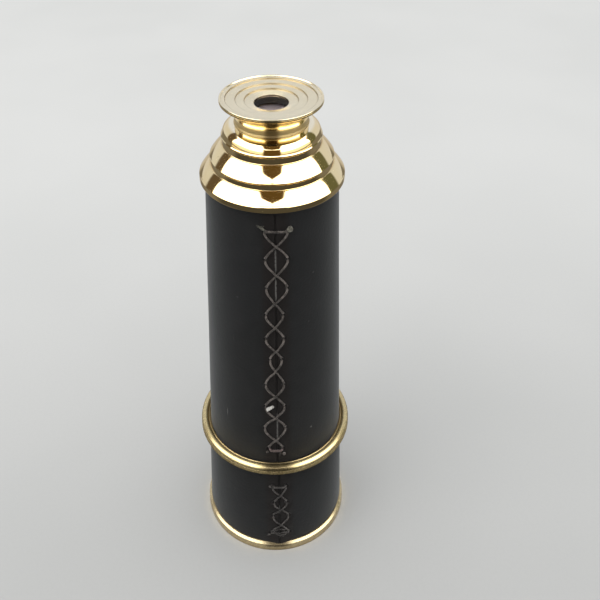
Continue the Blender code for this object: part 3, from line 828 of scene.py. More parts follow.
def knurl(name, radius, low, high, teeth, depth, mat, body):
    """A band of fine straight teeth cut along the axis, with its ends run out to a chamfer."""
    per = 6
    segments = teeth * per
    wave = np.array([0.0, 0.55, 1.0, 1.0, 0.55, 0.0])[np.arange(segments) % per]
    turn = 2 * math.pi * np.arange(segments) / segments
    rows = [
        (radius - 0.45, low, 0.0),
        (radius - 0.16, low, 0.0),
        (radius - 0.02, low + 0.10, 0.6),
        (radius, low + 0.18, 1.0),
        (radius, high - 0.14, 1.0),
        (radius - 0.03, high - 0.06, 0.5),
        (radius - 0.14, high, 0.0),
        (radius - 0.45, high, 0.0),
    ]
    verts = np.empty((segments, len(rows), 3))
    for k, (r, z, cut) in enumerate(rows):
        rr = r - depth * cut * (1.0 - wave)
        verts[:, k, 0] = np.cos(turn) * rr
        verts[:, k, 1] = np.sin(turn) * rr
        verts[:, k, 2] = z
    count = len(rows)
    j, i = np.meshgrid(np.arange(segments), np.arange(count), indexing="ij")
    j2, i2 = (j + 1) % segments, (i + 1) % count
    faces = np.stack(
        [j * count + i, j2 * count + i, j2 * count + i2, j * count + i2], -1
    ).reshape(-1, 4)
    return piece(name, verts.reshape(-1, 3), faces.tolist(), mat, body, sharp=70.0)


knurl("collar_knurl", COLLAR_R - 0.02, COLLAR_LOW + 0.06, 32.16, 360, 0.13, COLLAR_BRASS, "drum")

# base ring: a flanged foot with a rounded shoulder, its underside faced on the lathe
base = [
    (18.2, BASE_LOW, 0.12),
    (19.6, BASE_LOW, 0.0),
    (19.75, BASE_LOW + 0.10),
    (19.95, BASE_LOW + 0.10),
    (20.10, BASE_LOW),
    (BASE_R - 0.02, BASE_LOW, 0.2),
    (BASE_R - 0.02, 1.98, 0.30),
    (22.98, 2.50, 0.20),
    (22.2, 2.54),
    (22.2, 1.52),
    (20.7, 1.52),
    (20.7, 3.5, 0.1),
    (19.4, 3.5, 0.1),
    (19.4, 1.5, 0.1),
    (18.2, 1.15, 0.12),
]
turned("base_ring_foot", rounded(base, 7), BASE_BRASS, "drum", ("base_ring",), 384)


# ---------------------------------------------------------------- turned inner pieces


def ring(name, node, inner, mat, body, fillet=0.15, segments=160):
    outer, low, high = limits(node)
    turned(
        name,
        rounded(
            [
                (inner, low, fillet),
                (outer, low, fillet),
                (outer, high, fillet),
                (inner, high, fillet),
            ],
            3,
        ),
        mat,
        body,
        (node,),
        segments,
    )


def disc(name, node, mat, body, fillet=0.2, segments=160):
    outer, low, high = limits(node)
    turned(
        name,
        rounded([(0.0, low), (outer, low, fillet), (outer, high, fillet), (0.0, high)], 3),
        mat,
        body,
        (node,),
        segments,
    )


ring("barrel_tube_drawn", "barrel_tube", 20.5, TUBE, "barrel", 0.1)
ring("drum_tube_drawn", "drum_tube", 20.8, TUBE, "drum", 0.1)
ring("drum_bush_bronze", "drum_bush", 19.75, BUSH, "drum", 0.15)
ring("cell_lock_ring_threaded", "cell_lock_ring", 18.6, BLACK, "drum", 0.2)
ring("cell_spacer_sleeve", "cell_spacer", 19.2, BLACK, "drum", 0.15)
ring("eye_lens_ring_threaded", "eye_lens_ring", 6.5, BLACK, "barrel", 0.15)
disc("cell_window_glass", "cell_window", CLEAR, "drum", 0.25)
disc("frosted_window_glass", "frosted_window", FROST, "drum", 0.25)
_, lens_low, lens_high = limits("eye_lens")
lens = [(0.0, lens_low), (8.44, lens_low, 0.12), (8.44, 145.42, 0.1)]
for k in range(1, 25):
    r = 8.3 * (1 - k / 24)
    lens.append((r, lens_high - (lens_high - 145.5) * (r / 8.44) ** 2))
turned("eye_lens_ground", rounded(lens, 3), LENS, "barrel", ("eye_lens",), 160)
hub_out, hub_low, hub_high = limits("bearing_hub")
turned(
    "bearing_hub_turned",
    rounded(
        [
            (18.2, hub_low, 0.2),
            (19.65, hub_low, 0.2),
            (19.65, 31.3, 0.1),
            (hub_out, 31.3, 0.15),
            (hub_out, hub_high, 0.2),
            (18.2, hub_high, 0.2),
        ],
        3,
    ),
    TUBE,
    "barrel",
    ("bearing_hub",),
    160,
)
keep_out, keep_low, keep_high = limits("hub_retaining_ring")
turned(
    "hub_retaining_ring_turned",
    rounded(
        [
            (17.0, keep_low, 0.2),
            (keep_out, keep_low, 0.2),
            (keep_out, 22.8, 0.15),
            (18.1, 22.8),
            (18.1, keep_high, 0.15),
            (17.0, keep_high, 0.15),
        ],
        3,
    ),
    TUBE,
    "barrel",
    ("hub_retaining_ring",),
    160,
)


def dress(node, mat, bevel=0.0, smooth=0, angle=25.0):
    """A CAD node kept as it is: better material, corners eased by a modifier."""
    obj = nodes[node]
    obj.data.materials.clear()
    obj.data.materials.append(mat)
    weld = obj.modifiers.new("weld", "WELD")
    weld.merge_threshold = 1e-6
    if bevel:
        ease = obj.modifiers.new("ease", "BEVEL")
        ease.width = bevel * MM
        ease.segments = 3
        ease.limit_method = "ANGLE"
        ease.angle_limit = math.radians(angle)
        ease.harden_normals = False
    if smooth:
        fine = obj.modifiers.new("fine", "SUBSURF")
        fine.levels = smooth
        fine.render_levels = smooth
    for polygon in obj.data.polygons:
        polygon.use_smooth = True


for k in (1, 2, 3):
    dress(f"mirror_{k}", SILVER, 0.15)
    dress(f"mirror_packing_{k}", FOAM, 0.5)
dress("mirror_mask_eye", BLACK, 0.08)
dress("mirror_mask_front", BLACK, 0.08)


# ---------------------------------------------------------------- glass pieces in the cell

BEADS = {
    "bead_outer_1_round": "ruby",
    "bead_outer_2_chip": "cobalt",
    "bead_outer_3_bugle": "amber",
    "bead_outer_4_cut": "emerald",
    "bead_outer_5_block": "violet",
    "bead_outer_6_round": "aqua",
    "bead_middle_1_cut": "rose",
    "bead_middle_2_bugle": "cobalt",
    "bead_middle_3_chip": "emerald",
    "bead_middle_4_round": "amber",
    "bead_middle_5_block": "crystal",
    "bead_inner_1_round": "violet",
    "bead_inner_2_chip": "ruby",
}
for node, shade in BEADS.items():
    kind = node.rsplit("_", 1)[1]
    if kind == "round":
        dress(node, GLASS[shade], 0.0, 2)
    else:
        dress(node, GLASS[shade], 0.16 if kind != "bugle" else 0.1, 0, 20.0)


# ---------------------------------------------------------------- leather sleeves


def sleeve(name, node, mat, body, seam_deg, holes, row_step, ridge, low_bulge, dip, rise=0.0):
    """One sheet rolled on the tube, butted along the seam: rounded cut edges, punched holes drawn in by the
    cord, a slight swell along the join and slow hand-stretched waves elsewhere."""
    outer, low, high = limits(node)
    gap = 0.05
    around = 2 * math.pi * outer
    fine = [gap / 2 + d for d in (0.0, 0.03, 0.08, 0.15, 0.25)]
    while fine[-1] < 6.6:
        fine.append(fine[-1] + 0.17)
    step = 0.2
    while fine[-1] < around / 2 - 1.6:
        step = min(step * 1.25, 1.5)
        fine.append(fine[-1] + step)
    fine = np.array(fine)
    arcs = np.concatenate([fine, (around - fine)[::-1]])
    signed = np.where(arcs > around / 2, arcs - around, arcs)
    inset, edge = LEATHER_T, 0.38
    loop = [(inset, low)]
    loop += [
        (edge - edge * math.sin(a), low + edge - edge * math.cos(a))
        for a in np.radians([0, 22.5, 45, 67.5])
    ]
    rows = int(round((high - low - 2 * edge) / row_step))
    loop += [(0.0, low + edge + (high - low - 2 * edge) * k / rows) for k in range(rows + 1)]
    loop += [
        (edge - edge * math.cos(a), high - edge + edge * math.sin(a))
        for a in np.radians([22.5, 45, 67.5, 90])
    ]
    loop += [(inset, high)]
    loop = np.array(loop)
    depth, height = loop[:, 0], loop[:, 1]
    S = np.repeat(signed[:, None], len(loop), 1)
    Z = np.repeat(height[None, :], len(arcs), 0)
    D = np.repeat(depth[None, :], len(arcs), 0)
    push = np.zeros_like(S)
    over = np.clip(np.abs(S) - gap / 2, 0, None)
    round_r = 0.20
    near = over < round_r
    push[near] -= round_r - np.sqrt(round_r**2 - (round_r - over[near]) ** 2)
    push += ridge * np.exp(-((S / 1.5) ** 2))
    push += low_bulge * np.exp(-((S / 2.6) ** 2)) * np.exp(-(((Z - low) / 3.0) ** 2))
    theta = S / outer
    push += 0.035 * np.sin(3 * theta + 1.0 + Z * 0.045) + 0.025 * np.sin(
        5 * theta - 0.6 + Z * 0.11
    ) * np.cos(Z * 0.07)
    push -= 0.06
    for z, left, right in holes:
        for s in (left, right):
            q2 = (S - s) ** 2 + (Z - z) ** 2
            q = np.sqrt(q2)
            push -= 1.05 / (1.0 + np.exp(np.clip((q - 0.52) / 0.075, -40, 40)))
            push -= 0.20 * np.exp(-q2 / 1.5**2)
            push += 0.10 * np.exp(-(((q - 0.85) / 0.22) ** 2))
    # the cord presses a shallow track across the join
    for (z1, l1, r1), (z2, l2, r2) in zip(holes[:-1], holes[1:]):
        for a, b in (((l1, z1), (r2, z2)), ((r1, z1), (l2, z2))):
            ax, az, bx, bz = a[0], a[1], b[0], b[1]
            t = np.clip(
                ((S - ax) * (bx - ax) + (Z - az) * (bz - az))
                / ((bx - ax) ** 2 + (bz - az) ** 2),
                0,
                1,
            )
            q2 = (S - ax - t * (bx - ax)) ** 2 + (Z - az - t * (bz - az)) ** 2
            push -= 0.06 * np.exp(-q2 / 0.6**2)
    push[D > edge + 0.01] = 0.0
    low_edge = np.exp(-((S / 1.4) ** 2)) * np.exp(-np.clip(Z - low, 0, None) / 0.8)
    Z = Z - dip * low_edge * (D < edge + 0.01)
    # the trimmed foot edge stands a little higher away from the seam
    Z = Z + rise * (1 - np.exp(-np.abs(S) / 4.5)) * np.exp(-np.clip(Z - low, 0, None) / 2.2)
    R = outer - D + push
    angle = math.radians(seam_deg) + S / outer
    verts = np.stack([R * np.sin(angle), -R * np.cos(angle), Z], -1).reshape(-1, 3)
    n, m = len(arcs), len(loop)
    j, i = np.meshgrid(np.arange(n - 1), np.arange(m), indexing="ij")
    i2 = (i + 1) % m
    quads = np.stack([j * m + i, (j + 1) * m + i, (j + 1) * m + i2, j * m + i2], -1)
    faces = quads.reshape(-1, 4).tolist()
    faces.append(list(range(m)))
    faces.append(list(range((n - 1) * m, n * m))[::-1])
    return piece(name, verts, faces, mat, body, (node,), 50.0)


sleeve("barrel_leather_wrap", "barrel_leather", BARREL_HIDE, "barrel", BARREL_SEAM, BARREL_HOLES, 0.34, 0.07, 0.13, 0.0)
sleeve("drum_leather_wrap", "drum_leather", DRUM_HIDE, "drum", DRUM_SEAM, DRUM_HOLES, 0.2, 0.10, 0.38, 0.30, 1.12)


# ---------------------------------------------------------------- lacing


class Lace:
    """Builds twisted cord along paths laid on a leather cylinder, all in one mesh."""

    def __init__(self, seam_deg, surface):
        self.seam = math.radians(seam_deg)
        self.surface = surface
        self.verts, self.faces, self.uvs = [], [], []
        self.count = 0

    def at(self, s, z, h):
        r = self.surface + h
        a = self.seam + s / self.surface
        return np.stack([r * np.sin(a), -r * np.cos(a), z + 0 * s], -1)

    def tube(self, points, radii, sides, u0=0.0):
        """A closed tube along points; its ends are rounded off by the radii given."""
        points = np.asarray(points, float)
        n = len(points)
        tangent = np.gradient(points, axis=0)
        tangent /= np.linalg.norm(tangent, axis=1)[:, None] + 1e-12
        outward = points.copy()
        outward[:, 2] = 0
        outward /= np.linalg.norm(outward, axis=1)[:, None] + 1e-12
        side = np.cross(tangent, outward)
        weak = np.linalg.norm(side, axis=1) < 0.15
        side[weak] = np.cross(tangent[weak], np.array([0.0, 0.0, 1.0]))
        side /= np.linalg.norm(side, axis=1)[:, None] + 1e-12
        up = np.cross(side, tangent)
        turn = 2 * math.pi * np.arange(sides) / sides
        ringed = (
            points[:, None, :]
            + radii[:, None, None]
            * (
                np.cos(turn)[None, :, None] * side[:, None, :]
                + np.sin(turn)[None, :, None] * up[:, None, :]
            )
        ).reshape(-1, 3)
        start = self.count
        self.verts.append(ringed)
        self.count += len(ringed)
        length = np.concatenate(
            [[0], np.cumsum(np.linalg.norm(np.diff(points, axis=0), axis=1))]
        )
        for k in range(n - 1):
            for q in range(sides):
                p = (q + 1) % sides
                a, b = start + k * sides, start + (k + 1) * sides
                self.faces.append([a + q, a + p, b + p, b + q])
                v0, v1 = q / sides, (q + 1) / sides
                self.uvs += [
                    (u0 + length[k], v0),
                    (u0 + length[k], v1),
                    (u0 + length[k + 1], v1),
                    (u0 + length[k + 1], v0),
                ]
        self.faces.append([start + q for q in range(sides)][::-1])
        self.uvs += [(u0, 0.5)] * sides
        last = start + (n - 1) * sides
        self.faces.append([last + q for q in range(sides)])
        self.uvs += [(u0 + length[-1], 0.5)] * sides

    def cord(self, s, z, h, ply=0.20, offset=0.145, pitch=1.5, sides=8, taper=0.25, phase=0.0, swell=0.0):
        """Two plies twisted round the path given by arc, height and lift arrays."""
        path = self.at(np.asarray(s, float), np.asarray(z, float), np.asarray(h, float))
        run = np.concatenate([[0], np.cumsum(np.linalg.norm(np.diff(path, axis=0), axis=1))])
        count = max(8, int(run[-1] / 0.16))
        even = np.linspace(0, run[-1], count)
        path = np.stack([np.interp(even, run, path[:, k]) for k in range(3)], -1)
        tangent = np.gradient(path, axis=0)
        tangent /= np.linalg.norm(tangent, axis=1)[:, None] + 1e-12
        outward = path.copy()
        outward[:, 2] = 0
        outward /= np.linalg.norm(outward, axis=1)[:, None]
        side = np.cross(tangent, outward)
        weak = np.linalg.norm(side, axis=1) < 0.2
        side[weak] = np.cross(tangent[weak], np.array([0.0, 0.0, 1.0]))
        side /= np.linalg.norm(side, axis=1)[:, None] + 1e-12
        up = np.cross(side, tangent)
        ends = np.minimum(even, run[-1] - even)
        shrink = np.clip(ends / taper, 0.0, 1.0) ** 0.5 * 0.75 + 0.25
        shrink = shrink * (1.0 + swell * ((2 * even / run[-1] - 1.0) ** 2 - 0.4))
        for k in range(2):
            twist = 2 * math.pi * even / pitch + math.pi * k + phase
            centre = path + offset * (
                np.cos(twist)[:, None] * side * 1.15 + np.sin(twist)[:, None] * up * 0.8
            )
            self.tube(centre, ply * shrink, sides, u0=phase * 3 + k * 7.3)

    def fibre(self, s, z, h, radius=0.05, sides=5):
        path = self.at(np.asarray(s, float), np.asarray(z, float), np.asarray(h, float))
        radii = np.full(len(path), radius)
        radii[-1] *= 0.4
        self.tube(path, radii, sides, u0=float(s[0]))

    def build(self, name, mat, body, stands_for=()):
        obj = piece(
            name,
            np.concatenate(self.verts),
            self.faces,
            mat,
            body,
            stands_for,
            60.0,
        )
        layer = obj.data.uv_layers.new(name="cord")
        flat = np.array(self.uvs, np.float32).ravel()
        if len(flat) == len(layer.data) * 2:
            layer.data.foreach_set("uv", flat)
        return obj


LIFT = 0.27


def strand(lace, a, b, on_top, curl, seed, ply=0.20):
    """A stitch from hole a to hole b: it comes up out of one, bows across the join and goes down the other."""
    rng = random.Random(seed)
    t = np.linspace(0, 1, 80)
    ease = (1 - np.cos(math.pi * t)) / 2
    ease = curl * ease + (1 - curl) * t
    sway = rng.uniform(-0.10, 0.10) * np.sin(2 * math.pi * t) + rng.uniform(-0.08, 0.08) * np.sin(math.pi * t)
    way = -1 if b[1] < a[1] else 1
    z0, z1 = a[1] + way * 0.40, b[1] - way * 0.40
    s = a[0] + (b[0] - a[0]) * ease + sway
    z = z0 + (z1 - z0) * t
    length = math.hypot(b[0] - a[0], b[1] - a[1])
    end = np.minimum(t, 1 - t) * length
    h = LIFT - 1.2 * np.exp(-((end / 0.40) ** 1.6))
    if on_top:
        h = h + 0.36 * np.exp(-((((t - 0.5) * length) / 1.0) ** 2))
    else:
        h = h - 0.05 * np.exp(-((((t - 0.5) * length) / 0.8) ** 2))
    lace.cord(s, z, h, ply, ply * 0.72, phase=rng.uniform(0, 6.0), swell=0.42)


def bar_stitch(lace, points, lift, seed, ply=0.20, ends=(True, True)):
    rng = random.Random(seed)
    points = np.array(points, float)
    run = np.concatenate([[0], np.cumsum(np.hypot(*np.diff(points, axis=0).T))])
    fine = np.linspace(0, run[-1], 60)
    s = np.interp(fine, run, points[:, 0])
    z = np.interp(fine, run, points[:, 1])
    kernel = np.ones(9) / 9
    pad = 4
    s = np.convolve(np.pad(s, pad, "edge"), kernel, "valid")
    z = np.convolve(np.pad(z, pad, "edge"), kernel, "valid")
    z = z + 0.08 * np.sin(np.linspace(0, 3.1, len(z)) + rng.uniform(0, 1))
    h = np.full(len(s), lift)
    for which, at_end in zip(ends, (fine, run[-1] - fine)):
        if which:
            h = h - 1.2 * np.exp(-((at_end / 0.42) ** 1.6))
    lace.cord(s, z, h, ply=ply, offset=ply * 0.72, phase=rng.uniform(0, 6.0))


def fray(lace, s, z, angle, length, count, spread, seed, lift=0.35, radius=0.045):
    """Loose fibres fanning out of a cut cord end."""
    rng = random.Random(seed)
    for _ in range(count):
        a = angle + rng.gauss(0, spread)
        far = length * rng.uniform(0.55, 1.15)
        bend = rng.uniform(-0.9, 0.9)
        t = np.linspace(0, 1, 9)
        ss = s + rng.uniform(-0.18, 0.18) + far * t * np.cos(a + bend * t * 0.8)
        zz = z + rng.uniform(-0.18, 0.18) + far * t * np.sin(a + bend * t * 0.8)
        hh = lift + rng.uniform(-0.12, 0.14) + rng.uniform(-0.15, 0.35) * t
        lace.fibre(ss, zz, np.clip(hh, 0.05, 0.95), radius * rng.uniform(0.8, 1.3))


def knot(lace, s, z, size, turns, seed, ply=0.22, lift=0.42):
    """A small knot pulled into a ball against the leather: cord wound over itself on a flattened sphere."""
    rng = random.Random(seed)
    t = np.linspace(0, 1, 60 * turns)
    lat = np.radians(-50 + 125 * t)
    turn = 2 * math.pi * turns * t + rng.uniform(0, 6)
    tilt = 0.35 * np.sin(2 * math.pi * t * 1.7 + rng.uniform(0, 6))
    ss = s + size * np.cos(lat) * np.cos(turn) + 0.10 * size * tilt
    zz = z + size * np.cos(lat) * np.sin(turn) * 0.92 - 0.12 * size * tilt
    hh = lift + 0.62 * size * (np.sin(lat) + 0.25 * tilt)
    lace.cord(ss, zz, hh, ply=ply, offset=ply * 0.6, taper=0.05, phase=rng.uniform(0, 6))


def stitches(lace, holes, top_left, curl, seed, ply=0.20):
    for i, (upper, lower) in enumerate(zip(holes[:-1], holes[1:])):
        z1, l1, r1 = upper
        z2, l2, r2 = lower
        left_first = i < top_left
        strand(lace, (l1, z1), (r2, z2), left_first, curl, seed + 2 * i, ply)
        strand(lace, (r1, z1), (l2, z2), not left_first, curl, seed + 2 * i + 1, ply)


lace = Lace(BARREL_SEAM, BARREL_R)
stitches(lace, BARREL_HOLES, 3, 0.62, 11, 0.215)
z0, l0, r0 = BARREL_HOLES[0]
bar_stitch(lace, [(l0 - 0.1, z0 + 0.25), (l0 + 1.2, z0 + 0.10), (r0 - 1.0, z0 - 0.10), (r0, z0 + 0.1)], 0.36, 3, 0.23)
lace.build("barrel_lacing_cord", CORD, "barrel", ("barrel_lacing",))

# cut end hooked over at the upper left of the first stitch
hook = Lace(BARREL_SEAM, BARREL_R)
bar_stitch(hook, [(l0 + 0.5, z0 + 0.35), (l0 - 0.35, z0 + 0.75), (l0 - 1.0, z0 + 1.35), (l0 - 1.75, z0 + 1.95)], 0.36, 21, 0.19, (True, False))
bar_stitch(hook, [(l0 + 0.25, z0 + 0.2), (l0 - 0.15, z0 + 0.95), (l0 - 0.45, z0 + 1.75)], 0.46, 22, 0.16, (True, False))
fray(hook, l0 - 1.5, z0 + 1.75, math.radians(148), 0.9, 9, 0.35, 5)
fray(hook, l0 - 0.5, z0 + 1.6, math.radians(120), 0.7, 6, 0.5, 6)
hook.build("barrel_lacing_cut_end", CORD_KNOT, "barrel")

ball = Lace(BARREL_SEAM, BARREL_R)
knot(ball, r0 + 0.62, z0 + 0.72, 0.68, 3, 4, 0.23, 0.42)
bar_stitch(ball, [(r0 + 0.2, z0 - 0.4), (r0 + 0.5, z0 + 0.3), (r0 + 0.8, z0 + 1.5)], 0.42, 41, 0.20, (True, False))
fray(ball, r0 + 0.8, z0 + 1.5, math.radians(85), 0.5, 5, 0.4, 9)
ball.build("barrel_lacing_knot", CORD_KNOT, "barrel")

z9, l9, r9 = BARREL_HOLES[-1]
tie = Lace(BARREL_SEAM, BARREL_R)
bar_stitch(tie, [(l9 + 0.1, z9 - 0.15), (l9 + 1.0, z9 - 0.5), (r9 - 1.0, z9 - 0.55), (r9 + 0.1, z9 - 0.45)], 0.40, 31, 0.23)
tie.build("barrel_lacing_bottom_tie", CORD_ROSE, "barrel")
tag = Lace(BARREL_SEAM, BARREL_R)
knot(tag, r9 + 0.35, z9 - 1.75, 0.34, 2, 14, 0.15, 0.26)
fray(tag, r9 - 0.9, z9 - 1.1, math.radians(-100), 1.1, 6, 0.3, 15)
fray(tag, l9 - 0.2, z9 - 0.5, math.radians(-120), 0.9, 5, 0.4, 16)
tag.build("barrel_lacing_bottom_end", CORD, "barrel")

# three short pale strands laid under the eighth stitch
scrap = Lace(BARREL_SEAM, BARREL_R)
z7, l7, r7 = BARREL_HOLES[7]
for k, (lift, shift) in enumerate(((0.52, 0.0), (0.50, 0.36), (0.44, -0.34))):
    bar_stitch(
        scrap,
        [(l7 + 0.35, z7 - 0.95 + shift), (l7 + 1.4, z7 - 0.25 + shift), (l7 + 2.9 - 0.2 * k, z7 + 0.55 + shift * 0.7)],
        lift - 0.06,
        51 + k,
        0.19,
        (False, False),
    )
scrap.build("barrel_lacing_pale_thread", CORD_PALE, "barrel")

lace = Lace(DRUM_SEAM, DRUM_R)
stitches(lace, DRUM_HOLES, 0, 0.62, 71, 0.165)
z0, l0, r0 = DRUM_HOLES[0]
bar_stitch(lace, [(l0 - 0.2, z0 + 0.1), (l0 + 1.0, z0 - 0.05), (r0, z0 - 0.1)], 0.36, 73, 0.18)
bar_stitch(lace, [(l0 + 0.2, z0 - 0.15), (l0 - 0.75, z0 + 0.05), (l0 - 1.15, z0 + 0.4), (l0 - 0.6, z0 + 0.62), (l0 + 0.1, z0 + 0.35)], 0.28, 74, 0.13)
z3, l3, r3 = DRUM_HOLES[-1]
bar_stitch(lace, [(l3 - 0.3, z3 - 0.1), (l3 + 1.4, z3 + 0.5), (-0.2, z3 + 0.1), (r3 - 1.4, z3 + 0.55), (r3 + 0.3, z3)], 0.36, 75, 0.15)
bar_stitch(lace, [(l3 + 0.6, z3 + 1.0), (-0.4, z3 - 0.6), (r3 - 0.6, z3 - 0.35)], 0.32, 76, 0.13)
bar_stitch(lace, [(l3 + 0.2, z3 + 0.4), (l3 + 1.6, z3 + 1.3), (0.2, z3 + 1.7), (r3 - 0.9, z3 + 1.2)], 0.30, 81, 0.12)
fray(lace, 0.2, z3 - 0.4, math.radians(-95), 1.2, 7, 0.5, 77)
fray(lace, l3 - 0.2, z3, math.radians(190), 1.0, 5, 0.4, 78)
fray(lace, r3 - 0.4, z3 + 0.9, math.radians(60), 1.0, 5, 0.5, 79)
fray(lace, -0.6, z3 + 1.6, math.radians(100), 0.9, 4, 0.6, 80)
lace.build("drum_lacing_cord", CORD_DRUM, "drum", ("drum_lacing",))


# ---------------------------------------------------------------- floor, light, camera


def floor_stage():
    mat, g = new_material("floor_plain")
    position = g.add("ShaderNodeNewGeometry").outputs["Position"]
    facing_back = g.add("ShaderNodeNewGeometry").outputs["Backfacing"]
    parts = g.add("ShaderNodeSeparateXYZ", {0: position})
    x, y, z = parts.outputs
    reach = g.math("SQRT", g.plus(g.times(x, x), g.times(y, y)))
    off = g.times(
        g.math("ABSOLUTE", g.math("ARCTAN2", x, g.times(y, -1.0))), 180 / math.pi
    )
    grain = g.noise(position, 900.0, 3.0, 0.6)
    cloud = g.noise(position, 9.0, 2.0, 0.5)
    colour = g.mix(g.smooth(cloud, 0.3, 0.7), (0.665, 0.672, 0.668), (0.690, 0.696, 0.692))
    colour = g.mix(g.times(g.smooth(grain, 0.4, 0.7), 0.12), colour, (0.60, 0.60, 0.60))
    # painted shade: the sweep darkens towards the lens
    painted_falloff = g.smooth(y, -0.14, 0.26, 0.745, 1.0)
    colour = g.mix(1.0, colour, g.vector(painted_falloff, painted_falloff, painted_falloff), "MULTIPLY")
    plain = g.add("ShaderNodeBsdfDiffuse", {"Color": colour}).outputs[0]
    # painted reflection: for glossy rays the floor glows with what polished metal sees of the room below the horizon: a
    # dark front, paler behind, brighter right at the object's foot and a warm band far off
    level = g.smooth(off, 78.0, 100.0, 0.085, 0.22)
    level = g.math("MAXIMUM", level, g.smooth(off, 138.0, 155.0, 0.0, 0.60))
    level = g.math("MAXIMUM", level, g.smooth(reach, 0.026, 0.036, 0.40, 0.0))
    distant = g.times(g.smooth(reach, 0.9, 1.6), g.smooth(off, 17.0, 22.0))
    distant = g.times(distant, g.smooth(off, 94.0, 98.0, 1.0, 0.0))
    level = g.math("MAXIMUM", level, g.times(distant, 1.3))
    warm = g.mix(distant, (1.0, 0.97, 0.90), (1.0, 0.92, 0.68))
    seen = g.add("ShaderNodeEmission", {"Color": warm, "Strength": level}).outputs[0]
    glossy = g.add("ShaderNodeLightPath").outputs["Is Glossy Ray"]
    both = g.add("ShaderNodeMixShader", {0: glossy, 1: plain, 2: seen}).outputs[0]
    clear = g.add("ShaderNodeBsdfTransparent").outputs[0]
    g.finish(g.add("ShaderNodeMixShader", {0: facing_back, 1: both, 2: clear}).outputs[0])
    bm = bmesh.new()
    bmesh.ops.create_grid(bm, x_segments=8, y_segments=8, size=4.0)
    mesh = bpy.data.meshes.new("floor_plain")
    bm.to_mesh(mesh)
    bm.free()
    mesh.materials.append(mat)
    obj = bpy.data.objects.new("floor_plain", mesh)
    bpy.context.scene.collection.objects.link(obj)
    obj.location = (0.0, 0.0, -0.00002)


floor_stage()


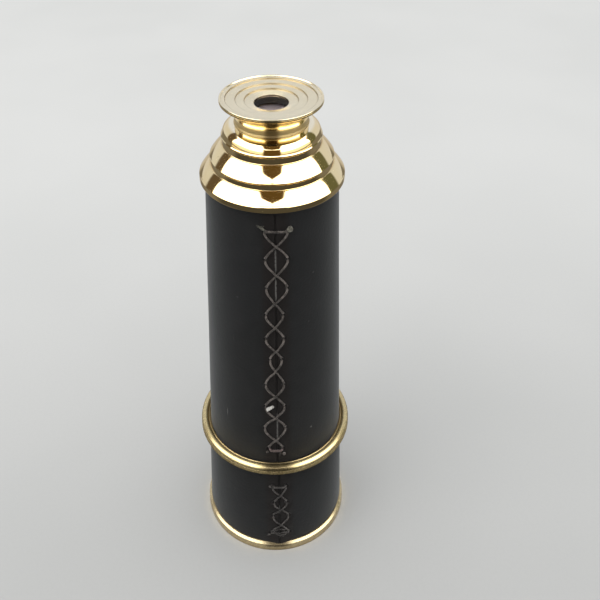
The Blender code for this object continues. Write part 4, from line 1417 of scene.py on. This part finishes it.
def studio():
    """A white light tent seen only by reflections; everything else gets one even pale sky."""
    world = bpy.data.worlds.new("studio")
    bpy.context.scene.world = world
    g = Graph(world)
    way = g.add("ShaderNodeTexCoord").outputs["Generated"]
    parts = g.add("ShaderNodeSeparateXYZ", {0: way})
    x, y, z = parts.outputs
    degrees = 180 / math.pi
    az = g.times(g.math("ARCTAN2", x, g.times(y, -1.0)), degrees)
    el = g.times(g.math("ARCSINE", z), degrees)
    off = g.math("ABSOLUTE", az)
    right = g.smooth(az, -4.0, 4.0)
    square = g.times(el, el)
    limit = g.plus(g.plus(97.5, g.times(square, 0.0095)), g.times(right, -3.5))
    far = g.plus(116.0, g.times(square, 0.018))
    sideways = g.math("ABSOLUTE", x)
    # behind and beside: a cool pale wall
    colour = g.mix(g.smooth(off, 135.0, 152.0), (0.76, 0.82, 0.95), (0.76, 0.80, 0.91))
    # dark flags beside the panels
    band = g.times(
        g.smooth(g.minus(far, off), -2.5, 2.5), g.smooth(el, 40.0, 50.0, 1.0, 0.0)
    )
    dark = g.mix(right, (0.135, 0.105, 0.075), (0.150, 0.160, 0.095))
    colour = g.mix(band, colour, dark)
    # the two front panels, dimmer along their foot, and the tent above
    inside = g.smooth(g.minus(limit, off), -1.3, 1.3)
    glow = g.mix(g.smooth(el, 9.0, 16.0), (1.45, 1.35, 1.15), (5.2, 5.15, 5.0))
    colour = g.mix(g.times(inside, g.smooth(el, 0.0, 2.5)), colour, glow)
    over = g.mix(g.smooth(off, 118.0, 145.0), (5.2, 5.15, 5.0), (1.05, 1.08, 1.12))
    colour = g.mix(g.smooth(el, 43.0, 48.0), colour, over)
    # the dark slot the lens looks through widens overhead and runs on behind
    wide = g.smooth(el, 41.0, 57.0, 0.0, 0.24)
    front = g.times(
        g.smooth(g.minus(wide, sideways), -0.03, 0.03), g.smooth(off, 88.0, 92.0, 1.0, 0.0)
    )
    back = g.times(
        g.times(g.smooth(g.minus(0.23, sideways), -0.03, 0.03), g.smooth(el, 60.0, 66.0)),
        g.smooth(off, 88.0, 92.0),
    )
    foot = g.times(
        g.times(g.smooth(g.minus(0.33, sideways), -0.05, 0.05), g.smooth(el, 33.0, 37.0, 1.0, 0.0)),
        g.smooth(off, 60.0, 90.0, 1.0, 0.0),
    )
    slot = g.math("MAXIMUM", g.math("MAXIMUM", front, back), foot)
    colour = g.mix(slot, colour, (0.125, 0.078, 0.030))
    paths = g.add("ShaderNodeLightPath")
    glossy = paths.outputs["Is Glossy Ray"]
    camera = paths.outputs["Is Camera Ray"]
    even = g.mix(g.smooth(z, -0.2, 1.0), (0.93, 0.935, 0.93), (1.05, 1.05, 1.04))
    even = g.mix(camera, even, (0.69, 0.695, 0.69))
    colour = g.mix(glossy, even, colour)
    background = g.add("ShaderNodeBackground", {"Color": colour, "Strength": 1.0}).outputs[0]
    out = g.add("ShaderNodeOutputWorld")
    g.put(background, out.inputs["Surface"])
    world.cycles.sampling_method = "NONE"


studio()

key = bpy.data.lights.new("soft_key", "AREA")
key.shape = "DISK"
key.size = 0.9
key.energy = 3.2
key.color = (1.0, 0.985, 0.96)
key_obj = bpy.data.objects.new("soft_key", key)
bpy.context.scene.collection.objects.link(key_obj)
key_obj.location = (-0.75, -0.55, 1.15)
key_obj.rotation_euler = (Vector((0, 0, 0.06)) - key_obj.location).to_track_quat("-Z", "Y").to_euler()
key_obj.visible_glossy = False


def viewpoint():
    """The product view: a level-ish lens well above the object, its frame shifted down to take the object in.
    The shift belongs to this view alone, whose angles are set as XYZ; other views use quaternions."""
    data = bpy.data.cameras.new("product_view")
    data.sensor_width = 36.0
    data.lens = 972.8665 / 600 * 36.0
    data.clip_start, data.clip_end = 0.01, 50.0
    camera = bpy.data.objects.new("product_view", data)
    bpy.context.scene.collection.objects.link(camera)
    camera.location = (0.0, -0.303813, 0.292505)
    camera.rotation_mode = "XYZ"
    aim = Matrix.Rotation(math.radians(90.0 - 10.16715), 3, "X") @ Matrix.Rotation(
        math.radians(-0.66202), 3, "Z"
    )
    camera.rotation_euler = aim.to_euler("XYZ")
    for path, value in (
        ("shift_x", (300.0 - 268.3027) / 600),
        ("shift_y", (-158.5034 - 300.0) / 600),
    ):
        curve = data.driver_add(path)
        driver = curve.driver
        driver.type = "SUM"
        source = driver.variables.new()
        source.type = "SINGLE_PROP"
        source.targets[0].id = camera
        source.targets[0].data_path = "rotation_mode"
        for modifier in list(curve.modifiers):
            curve.modifiers.remove(modifier)
        while len(curve.keyframe_points):
            curve.keyframe_points.remove(curve.keyframe_points[0], fast=True)
        curve.keyframe_points.insert(0.0, 0.0)
        curve.keyframe_points.insert(1.0, value)
        for key_point in curve.keyframe_points:
            key_point.interpolation = "LINEAR"
        curve.update()
        setattr(data, path, value)
    bpy.context.scene.camera = camera


viewpoint()
bpy.context.scene.view_settings.view_transform = "Standard"
bpy.context.scene.view_settings.look = "None"
